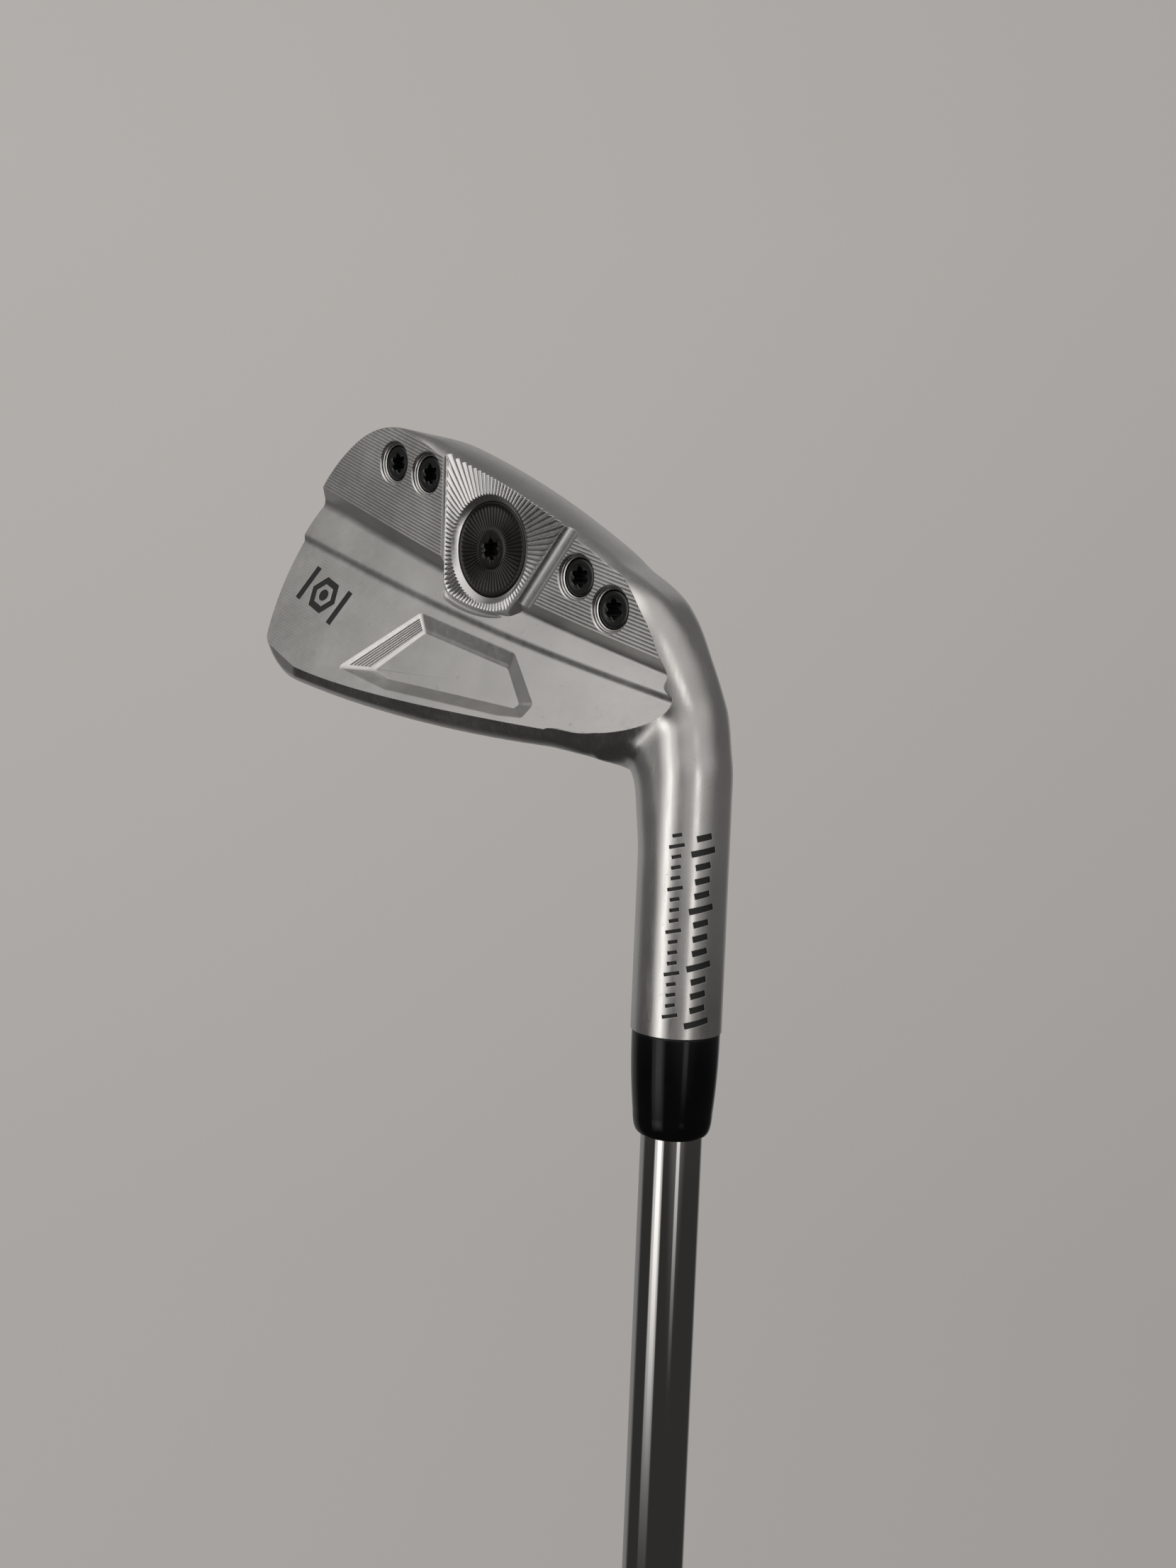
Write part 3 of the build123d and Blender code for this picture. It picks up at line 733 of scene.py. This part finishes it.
def score_lines():
    """The grooves across the face; section is (width, height) from each groove's middle."""
    section = ((0.46, 0.2), (0.4, -0.05), (0.24, -0.42), (-0.24, -0.42), (-0.4, -0.05), (-0.46, 0.2))
    count, first, pitch = 11, 7.5, 3.55
    cutters = []
    for i in range(count):
        y = (first + i * pitch) * COS
        heel_x = max(10.0, (y - 28.0) / 0.4)
        cutters.append(rings_solid("score", [
            [(x, y + wide * COS + h * SIN, TAN * y + FACE + wide * SIN - h * COS) for wide, h in section]
            for x in (heel_x, 60.0)]))
    return cutters


def prism_on_flat(name, points, low, high):
    """A solid on a face-view outline, between two heights over the flat."""
    p = np.asarray(points, float)
    return rings_solid(name, [on_loft(*p.T, FLAT + h) for h in (low, high)])


def polygon(r, n=6):
    s = np.arange(n) * 2 * math.pi / n
    return np.stack([r * np.cos(s), r * np.sin(s)], -1)


def toe_mark_cuts():
    """The plain mark near the toe: a ring, a dot and two bars."""
    centre = np.array([62.6, 36.8])
    stretch = np.array([1.0, COS])
    depth = 0.3 / COS
    ring = prism_on_flat("ring", centre + polygon(3.6) * stretch, -depth, 1.0)
    core = prism_on_flat("core", centre + polygon(2.2) * stretch, -depth - 1, 2.0)
    boolean(ring, [core])
    dot = prism_on_flat("dot", centre + polygon(1.1, 40) * stretch, -depth, 1.0)
    bars = []
    box = np.array([(-0.65, -3.5), (0.65, -3.5), (0.65, 3.5), (-0.65, 3.5)])
    for side in (-1, 1):
        bars.append(prism_on_flat("bar", centre + (box + (side * 5.2, 0)) * stretch, -depth, 1.0))
    return [ring, dot, *bars]


def hosel_tick_cuts():
    """Two rows of slanted ticks along the hosel, every fourth one long."""
    rows = ((60.0, 14, 2.1, 0.9, 3.9, 910.8), (26.0, 18, 1.56, 0.5, 2.3, 911.8))
    tick_floor = 6.47  # the radius that the ticks are cut down to
    slant = math.radians(12.0)
    cuts = []
    for bearing, count, pitch, width, length, low in rows:
        b = math.radians(bearing)
        out = np.array([math.sin(b), -math.cos(b), 0])
        side = np.cross(out, [0, 0, 1.0])
        for i in range(count):
            long = length * (1 if i % 4 == 0 else 0.62)
            rings = []
            for dv in np.linspace(-1, 1, 9):
                ring = []
                for du, floor in ((-1, True), (1, True), (1, False), (-1, False)):
                    u = du * width / 2 * math.cos(slant) - dv * long / 2 * math.sin(slant)
                    v = du * width / 2 * math.sin(slant) + dv * long / 2 * math.cos(slant)
                    h = math.sqrt(tick_floor ** 2 - v * v) if floor else HOSEL_R + 1.0
                    ring.append(np.array([0, 0, low + i * pitch + u]) + side * v + out * h)
                rings.append(ring)
            cuts.append(rings_solid("tick", rings, local=False))
    return cuts


def lathe(name, profile, n):
    """A closed solid of revolution about the shaft axis; profile is a closed loop of (radius, z)."""
    s = bearings(n)
    prof = np.asarray(profile, float)
    r, z = prof[:, 0], np.repeat(prof[:, 1][:, None], n, 1)
    verts = np.stack([np.outer(r, np.cos(s)), np.outer(r, np.sin(s)), z], -1)
    faces = []
    for i in range(len(prof)):
        k = (i + 1) % len(prof)
        for j in range(n):
            turn = (j + 1) % n
            faces.append((i * n + j, i * n + turn, k * n + turn, k * n + j))
    return fix(make(name, verts.reshape(-1, 3), faces, local=False))


def rod(name, profile):
    """A solid turned about the shaft axis, with capped ends; profile is (radius, z) pairs."""
    return rings_solid(name, [circle(r, bearings(96), z) for r, z in profile], local=False)


HOSEL_END = 908.4  # where the hosel meets the ferrule
BORE_R, BORE_END = 4.85, 938.9
SHAFT_END = 938.4
SHAFT_TIP_R, SHAFT_TIP_BORE = 4.7, 4.1
PORTS = {
    "toe_weight_outer": (58.5, 9.35), "toe_weight_inner": (50.15, 7.95),
    "heel_weight_inner": (12.55, 8.9), "heel_weight_outer": (4.4, 10.25),
}

# -------- head
head = mark(forge(), "forged")
ridges = mark(ridge_cutter(), "ridged")
boolean(ridges, [mark(milled_region(), "ridged")], "INTERSECT")
boolean(ridges, [mark(pad_island(), "draft")])
cuts = [ridges, mark(pad_void(), "fluted"), mark(moat(), "draft")]
cuts += [mark(channel(), "channelled"), mark(pocket(), "pocketed")]
port_profile = ((3.85, 2.0), (3.78, 0.12), (3.62, -0.12), (3.5, -0.22), (3.42, -0.55), (3.28, -0.62),
                (3.2, -0.9), (3.02, -0.95), (3.0, -7.5))
holes = [turned("port", x, y, port_profile) for x, y in PORTS.values()]
face = -SINK - DISC_SINK
seat_profile = ((9.05, 3.0), (9.05, -0.5), (8.98, -0.6), (8.86, -0.7), (7.9, face - 0.03),
                (DISC_R, face - 0.08), (DISC_R, face - 4.5))
holes.append(turned("disc", *DISC, seat_profile, 160))
cuts.append(mark(join("holes", holes), "bored"))
cuts.append(mark(join("lines", score_lines() + toe_mark_cuts() + hosel_tick_cuts()), "engraved"))
cuts.append(turned("stud", *DISC, ((3.6, face - 4.3), (3.6, face - 6.9))))
cuts.append(rod("end", ((16, 880), (16, HOSEL_END))))
cuts.append(rod("bore", ((6.2, 907), (5.35, HOSEL_END), (BORE_R, 908.9), (BORE_R, BORE_END))))
boolean(head, cuts)
shade(head, 32)
piece(head, "head_steel", "head_body")

# -------- camera
cam = bpy.data.cameras.new("camera")
cam.lens = 26.04
cam.sensor_fit = "VERTICAL"
cam.sensor_height = 36.0
cam.sensor_width = 27.0
cam.clip_start = 0.01
camera = bpy.data.objects.new("camera", cam)
bpy.context.scene.collection.objects.link(camera)
eye = Vector((0.09699, -0.14195, 0.95101))
forward = Vector((-0.63311, 0.77327, -0.03487)).normalized()
right = forward.cross(Vector((-0.05346, 0.00126, 0.99857))).normalized()
rise = right.cross(forward)
camera.matrix_world = Matrix((
    (right.x, rise.x, -forward.x, eye.x),
    (right.y, rise.y, -forward.y, eye.y),
    (right.z, rise.z, -forward.z, eye.z),
    (0, 0, 0, 1)))
bpy.context.scene.camera = camera

# -------- materials
class Nodes:
    """Short names for building a node tree."""

    def __init__(self, tree):
        self.tree = tree

    def new(self, kind, inputs=(), **settings):
        n = self.tree.nodes.new(kind)
        for k, v in settings.items():
            setattr(n, k, v)
        for k, v in dict(inputs).items():
            self.put(n.inputs[k], v)
        return n

    def put(self, socket, v):
        if isinstance(v, bpy.types.NodeSocket):
            self.tree.links.new(v, socket)
        else:
            socket.default_value = v

    def math(self, op, a, b=0.0):
        return self.new("ShaderNodeMath", {0: a, 1: b}, operation=op).outputs[0]

    def ramp(self, x, lo, hi, out_lo=0.0, out_hi=1.0, kind="SMOOTHSTEP"):
        ends = {"From Min": lo, "From Max": hi, "To Min": out_lo, "To Max": out_hi}
        return self.new("ShaderNodeMapRange", {"Value": x, **ends}, interpolation_type=kind).outputs[0]

    def noise(self, vector, scale, detail, rough):
        inputs = {"Vector": vector, "Scale": scale, "Detail": detail, "Roughness": rough}
        return self.new("ShaderNodeTexNoise", inputs).outputs["Fac"]

    def mapping(self, vector, scale):
        return self.new("ShaderNodeMapping", {"Vector": vector, "Scale": scale}).outputs[0]

    def place(self):
        return self.new("ShaderNodeTexCoord").outputs["Object"]

    def tinted(self, color, value):
        """The colour made lighter or darker by value."""
        return self.new("ShaderNodeHueSaturation", {"Value": value, "Color": (*color, 1)}).outputs[0]

    def softened(self, radius):
        """Normals rounded over sharp edges, to a radius in mm."""
        return self.new("ShaderNodeBevel", {"Radius": radius / MM}, samples=4).outputs[0]

    def bump(self, height, distance, strength=1.0, **more):
        """Normals bumped by height, distance mm deep."""
        inputs = {"Strength": strength, "Distance": distance / MM, "Height": height, **more}
        return self.new("ShaderNodeBump", inputs).outputs[0]


def material(name, color, metallic, roughness):
    """A new material, its shader, and its node helper."""
    m = bpy.data.materials.new(name)
    m.use_nodes = True
    b = m.node_tree.nodes["Principled BSDF"]
    b.inputs["Base Color"].default_value = (*color, 1)
    b.inputs["Metallic"].default_value = metallic
    b.inputs["Roughness"].default_value = roughness
    return m, b, Nodes(m.node_tree)


def dress(ob, m):
    """Give a whole object one material."""
    ob.data.materials.clear()
    ob.data.materials.append(m)


BLOTCH = 0.08  # how far the steel's tone wanders
STEEL_EDGE = 0.12  # the radius of its softened edges in mm


def steel(name, color, roughness, grain=(900, 900, 900), bump=0.004):
    """Satin steel with a stretched grain, faint blotches and softened edges."""
    m, b, n = material(name, color, 1.0, roughness)
    place = n.place()
    streak = n.noise(n.mapping(place, grain), 1.0, 3.0, 0.6)
    cloud = n.noise(place, 90.0, 3.0, 0.55)
    speck = n.noise(place, 900.0, 1.0, 0.5)
    blotch = n.ramp(cloud, 0.3, 0.7, 1.0 - BLOTCH, 1.0 + BLOTCH, "LINEAR")
    n.put(b.inputs["Base Color"], n.tinted(color, n.math("ADD", blotch, n.ramp(speck, 0.72, 0.78, 0.0, -0.12))))
    worn = n.ramp(streak, 0.25, 0.75, roughness - 0.05, roughness + 0.06, "LINEAR")
    n.put(b.inputs["Roughness"], n.math("ADD", worn, n.ramp(cloud, 0.35, 0.7, -0.03, 0.05, "LINEAR")))
    n.put(b.inputs["Normal"], n.bump(streak, bump, Normal=n.softened(STEEL_EDGE)))
    return m


# the finish that each cutter leaves; those with no marker, such as the hosel's bore, leave the bored one
finishes = {
    "forged": steel("steel_forged", (0.62, 0.605, 0.59), 0.25, grain=(1500, 1500, 220)),
    "ridged": steel("steel_milled", (0.60, 0.59, 0.575), 0.36),
    "draft": steel("steel_wall", (0.58, 0.57, 0.56), 0.34),
    "fluted": steel("steel_fluted", (0.66, 0.65, 0.64), 0.26, bump=0.003),
    "channelled": steel("steel_channel", (0.6, 0.59, 0.58), 0.28, bump=0.003),
    "pocketed": steel("steel_pocket", (0.6, 0.59, 0.575), 0.33),
    "bored": steel("steel_bored", (0.62, 0.61, 0.6), 0.22, bump=0.003),
    "engraved": steel("steel_engraved", (0.3, 0.29, 0.28), 0.45, bump=0.003),
}
for i, m in enumerate(head.data.materials):
    head.data.materials[i] = finishes.get(m.name if m else "", finishes["bored"])

# -------- weights
def lobed(r, lobe, n=72):
    """A six-lobe outline: a circle joined to six small circles on it."""
    s = bearings(n)
    near = (s + math.pi / 6) % (math.pi / 3) - math.pi / 6
    inside = lobe ** 2 - (r * np.sin(near)) ** 2
    reach = np.where(inside > 0, r * np.cos(near) + np.sqrt(np.maximum(inside, 0)), r)
    reach = np.maximum(reach, r)
    return np.stack([reach * np.cos(s), reach * np.sin(s)], -1)


def socket_cut(x, y, h, size=1.0):
    """The six-lobed drive socket under the point (x, y) at height h."""
    o = lobed(1.2 * size, 0.46 * size)
    levels = ((1.12, 0.3), (1.12, 0.02), (1.0, -0.1), (1.0, -2.0))
    return rings_solid("socket", [on_panel(x, y, *(o * k).T, h + d) for k, d in levels])


def small_weight(name, x, y):
    """A screw weight with a rounded shoulder and a drive socket."""
    t = -0.92  # the height of its face
    profile = ((2.6, -7.5), (2.93, -7.2), (2.93, t - 0.34), (2.88, t - 0.2), (2.78, t - 0.08), (2.64, t - 0.02),
               (2.45, t), (2.1, t - 0.01), (1.9, t - 0.05), (1.75, t - 0.07), (1.0, t - 0.07))
    ob = boolean(turned(name, x, y, profile, 96), [socket_cut(x, y, t - 0.07)])
    return piece(shade(ob, 35), "weight_black", name)


def disc_weight():
    """The fluted disc with its stem and drive socket."""
    count, samples = 55, 8
    s = np.arange(count * samples) / (count * samples) * 2 * math.pi
    t = -SINK - DISC_SINK  # the height of its face
    wave = scallop(np.arange(len(s)) / samples)
    profile = [(3.3, t - 6.8), (3.53, t - 6.6), (3.53, t - 4.5), (7.5, t - 4.5), (7.68, t - 4.3),
               (7.68, t - 0.2), (7.62, t - 0.08), (7.5, t), (7.3, t), (7.22, t - 0.03)]
    rings = list(profile)
    for r in np.linspace(7.1, 3.2, 12):
        end = smooth(min(7.2 - r, r - 3.05) / 0.5)
        rings.append((r, t - 0.08 - 0.1 * end * wave))
    rings += [(3.05, t - 0.06), (2.95, t - 0.02), (2.8, t), (1.0, t)]
    ob = rings_solid("centre_disc", [panel_circle(DISC, r, s, h) for r, h in rings])
    boolean(ob, [socket_cut(*DISC, t, 1.08)])
    return piece(shade(ob, 38), "weight_black", "center_weight")


def gloss(name, color, roughness, metallic=0.0, coat=0.0, bump=0.003, scale=700.0, edge=0.0, level=0.5):
    """Lacquer or plastic with a fine grain, slight wear and, if edge is set, softened edges."""
    m, b, n = material(name, color, metallic, roughness)
    b.inputs["Specular IOR Level"].default_value = level
    place = n.place()
    grain = n.noise(place, scale, 3.0, 0.6)
    wear = n.noise(place, 160.0, 4.0, 0.6)
    n.put(b.inputs["Roughness"], n.math("ADD", roughness, n.ramp(wear, 0.4, 0.75, -0.02, 0.1, "LINEAR")))
    b.inputs["Coat Weight"].default_value = coat
    b.inputs["Coat Roughness"].default_value = 0.08
    n.put(b.inputs["Base Color"], n.tinted(color, n.ramp(wear, 0.3, 0.8, 0.8, 1.4, "LINEAR")))
    base = {"Normal": n.softened(edge)} if edge else {}
    n.put(b.inputs["Normal"], n.bump(grain, bump, **base))
    return m


black = gloss("weight_lacquer", (0.006, 0.006, 0.006), 0.16, coat=0.3, edge=0.03)
disc_black = gloss("disc_lacquer", (0.012, 0.011, 0.01), 0.24, metallic=0.4, coat=0.2, edge=0.03)
for port, (x, y) in PORTS.items():
    dress(small_weight(port, x, y), black)
dress(disc_weight(), disc_black)

# -------- marks, ferrule and shaft
fill = gloss("mark_lacquer", (0.012, 0.012, 0.012), 0.42, bump=0.01, scale=2500.0)
for paint in ("toe_mark_paint", "hosel_mark_paint"):
    dress(nodes[paint], fill)

collar = [(4.74, HOSEL_END), (6.3, HOSEL_END), (6.6, 908.36), (6.7, 908.25)]
collar += [tuple(p) for p in arc3((6.71, 908.0), (6.5, 900.6), (6.12, 896.0), 24)]
collar += [tuple(p) for p in bezier((6.1, 895.8), (6.0, 893.0), (5.3, 892.74), 12)]
collar += [(5.05, 892.7), (4.74, 892.72)]
ferrule = piece(shade(lathe("ferrule_collar", collar, 160), 40), "ferrule_plastic", "ferrule")
dress(ferrule, gloss("ferrule_gloss", (0.003, 0.003, 0.0035), 0.1, bump=0.0015, scale=300.0, level=0.25))

BUTT_R, BUTT_BORE, BUTT_END = 7.62, 7.02, 3.0
STEPS, FIRST_STEP, STEP_PITCH, STEP_DROP = 10, 290.0, 40.0, 0.292
walls = [(BUTT_R, BUTT_END), (BUTT_R, BUTT_END + 0.2)]
for i in range(STEPS):
    z = FIRST_STEP + i * STEP_PITCH
    r0, r1 = BUTT_R - i * STEP_DROP, BUTT_R - (i + 1) * STEP_DROP
    walls += [(r0, z - 0.4), (r0 - 0.01, z), (r0 - 0.08, z + 0.3)]
    walls += [(r1 + 0.08, z + 0.9), (r1 + 0.01, z + 1.2), (r1, z + 1.6)]
walls += [(SHAFT_TIP_R, SHAFT_END), (SHAFT_TIP_BORE, SHAFT_END), (SHAFT_TIP_BORE, 652.0)]
walls += [(BUTT_BORE, FIRST_STEP), (BUTT_BORE, BUTT_END)]
tube = piece(shade(lathe("shaft_tube", walls, 192), 40), "shaft_chrome", "shaft")


def chrome():
    """Bright plating with faint smears and a slight drawn ripple."""
    m, b, n = material("chrome_plate", (0.62, 0.61, 0.6), 1.0, 0.05)
    place = n.place()
    smear = n.noise(n.mapping(place, (60, 60, 12)), 1.0, 4.0, 0.6)
    n.put(b.inputs["Roughness"], n.ramp(smear, 0.35, 0.8, 0.03, 0.12, "LINEAR"))
    ripple = n.noise(n.mapping(place, (90, 90, 2)), 1.0, 2.0, 0.5)
    n.put(b.inputs["Normal"], n.bump(ripple, 0.02))
    return m


dress(tube, chrome())

# -------- grip
def rubber(name, color, roughness=0.62):
    """A matt, fine-grained material with uneven wear."""
    m, b, n = material(name, color, 0.0, roughness)
    place = n.place()
    grain = n.noise(place, 2500.0, 3.0, 0.7)
    wear = n.noise(place, 60.0, 4.0, 0.6)
    n.put(b.inputs["Roughness"], n.ramp(wear, 0.3, 0.7, roughness - 0.1, roughness + 0.12, "LINEAR"))
    n.put(b.inputs["Base Color"], n.tinted(color, n.ramp(wear, 0.3, 0.8, 0.8, 1.5, "LINEAR")))
    n.put(b.inputs["Normal"], n.bump(grain, 0.06, 0.6))
    return m


GRIP_R = 13.28
GRIP_LOW = 6.0  # where the sleeve meets the cap


def grip():
    """The rubber sleeve, with its rings and rows of small lozenges pressed in."""
    around, columns, row_height = 240, 24, 4.0
    first_row, last_row = 22.0, 242.0
    bore = 7.87
    s = np.arange(around) / around * 2 * math.pi
    rings = [circle(bore, s, GRIP_LOW)]
    for z in np.r_[GRIP_LOW, GRIP_LOW + 0.05, np.arange(6.5, 266.0, 0.5), 266.2]:
        row = np.floor((z - first_row) / row_height)
        u = (s / (2 * math.pi) * columns + 0.5 * (row % 2)) % 1.0 - 0.5
        v = ((z - first_row) % row_height) / row_height - 0.5
        lozenge = np.clip(1 - (np.abs(u) / 0.36 + abs(v) / 0.4), 0, 1)
        dip = 0.35 * smooth(lozenge * 4.0) if first_row < z < last_row else np.zeros(around)
        for groove in (12.0, 15.0, 249.0, 252.0, 255.0):
            dip = dip + 0.5 * max(0.0, 1 - ((z - groove) / 0.7) ** 2)
        rings.append(circle(np.interp(z, (6, 150, 266.2), (GRIP_R, 10.6, 9.3)) - dip, s, z))
    rings += [circle(r, s, z) for r, z in ((9.1, 266.6), (8.8, 266.9), (8.5, 267.0), (bore, 267.0))]
    verts = np.concatenate(rings)
    faces = grid_faces(len(rings), around, close=True)
    last = (len(rings) - 1) * around
    inner = [(last + j, last + (j + 1) % around, (j + 1) % around, j) for j in range(around)]
    ob = fix(make("grip_rubber", verts, [tuple(f) for f in faces] + inner, local=False))
    return piece(shade(ob, 40), "grip_rubber", "grip_sleeve")


dress(grip(), rubber("grip_compound", (0.022, 0.022, 0.022)))
cap_profile = [(2.0, 0.0), (2.2, 0.0), (9.0, 0.0), (9.05, 0.25), (9.6, 0.25), (9.65, 0.0), (11.3, 0.0)]
cap_profile += [tuple(p) for p in arc((11.3, 2.0), 1.98, -80, 0, 12)]
cap_profile += [(GRIP_R, 5.2), (13.1, 5.6), (13.1, GRIP_LOW)]
cap_profile += [(7.64, GRIP_LOW), (7.64, BUTT_END), (2.0, BUTT_END)]
cap = piece(shade(lathe("grip_end", cap_profile, 160), 35), "grip_cap_rubber", "grip_cap")
dress(cap, rubber("cap_compound", (0.03, 0.03, 0.03), 0.5))
dress(nodes["grip_tape"], rubber("tape_paper", (0.6, 0.56, 0.47), 0.8))
dress(nodes["hosel_epoxy"], gloss("cured_film", (0.5, 0.44, 0.3), 0.35))

# -------- light and backdrop
scene = bpy.context.scene
scene.view_settings.view_transform = "Standard"
world = bpy.data.worlds.new("world")
scene.world = world
world.use_nodes = True
w = Nodes(world.node_tree)
ground = world.node_tree.nodes["Background"]
direction = w.new("ShaderNodeTexCoord").outputs["Generated"]
split = w.new("ShaderNodeSeparateXYZ", {0: direction})
dx, dy, dz = split.outputs
azimuth = w.math("MULTIPLY", w.math("ARCTAN2", dy, dx), 180 / math.pi)
height = w.math("MULTIPLY", w.math("ARCSINE", dz), 180 / math.pi)


def cosine_to(vector, aim):
    return w.new("ShaderNodeVectorMath", {0: vector, 1: aim}, operation="DOT_PRODUCT").outputs["Value"]


def strip(az, half, low, high, strength, soft):
    """A tall soft box seen from the head: its bearing, half width, lower and upper edge in degrees."""
    off = w.math("ABSOLUTE", w.math("SUBTRACT", azimuth, az))
    side = w.ramp(off, half + soft, half)
    span = w.math("MULTIPLY", w.ramp(height, low - 8, low + 8), w.ramp(height, high + 8, high - 8))
    return w.math("MULTIPLY", w.math("MULTIPLY", side, span), strength)


def glow(az, el, inner, outer, strength):
    """A round soft light: its bearing and height, and the angles between which it fades, in degrees."""
    a, e = math.radians(az), math.radians(el)
    aim = (math.cos(e) * math.cos(a), math.cos(e) * math.sin(a), math.sin(e))
    outer, inner = (math.cos(math.radians(edge)) for edge in (outer, inner))
    return w.math("MULTIPLY", w.ramp(cosine_to(direction, aim), outer, inner), strength)


def total(parts):
    """The sum of several lights."""
    out = parts[0]
    for q in parts[1:]:
        out = w.math("ADD", out, q)
    return out


# a broad dim wall on the bearing WALL
WALL = math.radians(140)
level = w.new("ShaderNodeCombineXYZ", {0: dx, 1: dy}).outputs[0]
level = w.new("ShaderNodeVectorMath", {0: level}, operation="NORMALIZE").outputs["Vector"]
facing = cosine_to(level, (math.cos(WALL), math.sin(WALL), 0))
wall = w.ramp(facing, math.cos(math.radians(56)), math.cos(math.radians(34)), 0.0, 0.22)
wall = w.math("MULTIPLY", wall, w.ramp(w.math("ABSOLUTE", dz), 0.9, 0.5))
light = total([
    wall,
    w.ramp(height, -22, -4, 0.04, 0.15),
    w.ramp(dz, 0.5, 0.95, 0.0, 0.05),
    w.math("MULTIPLY", glow(-84, 38, 8, 48, 0.7), w.ramp(height, 4, 30)),
    strip(-99, 13, -6, 22, 0.75, 18.0),
    strip(-99, 13, -30, -6, 0.8, 7.0),
    strip(-97, 6, -26, 6, 0.9, 4.0),
    glow(-30, 32, 10, 62, 0.5),
    strip(-27, 4, -22, 6, 1.1, 4.0),
    glow(-168, 14, 4, 15, 0.35),
])
# painted light falloff on the backdrop: brighter upwards, darker downwards and towards +x
backdrop_painted_falloff = w.ramp(dz, -0.4, 0.4, 0.405, 0.455, "LINEAR")
backdrop_painted_falloff = w.math("ADD", w.ramp(dx, -0.95, 0.2, 0.0, -0.09, "LINEAR"), backdrop_painted_falloff)


def warm(value, green, blue):
    """A grey with less green and blue."""
    return w.new("ShaderNodeCombineColor", {
        0: value, 1: w.math("MULTIPLY", value, green), 2: w.math("MULTIPLY", value, blue)}).outputs[0]


# the club is lit by the soft boxes, and the camera sees a backdrop behind it with a painted light falloff,
# darker towards the bottom and towards +x
seen = w.new("ShaderNodeLightPath").outputs["Is Camera Ray"]
colors = {6: warm(light, 0.985, 0.965), 7: warm(backdrop_painted_falloff, 0.955, 0.915)}
mixed = w.new("ShaderNodeMix", {"Factor": seen, **colors}, data_type="RGBA")
w.put(ground.inputs[0], mixed.outputs[2])
ground.inputs[1].default_value = 1.0

FLOOR_R, FLOOR_SIDES, FLOOR_LOW = 450, 96, -1.0
rim = circle(FLOOR_R, bearings(FLOOR_SIDES), FLOOR_LOW)
floor = make("floor", rim, [tuple(range(FLOOR_SIDES))], local=False)
dress(floor, material("floor_paint", (0.5, 0.49, 0.47), 0.0, 0.85)[0])
floor.visible_glossy = False  # so that its edge doesn't show in the steel
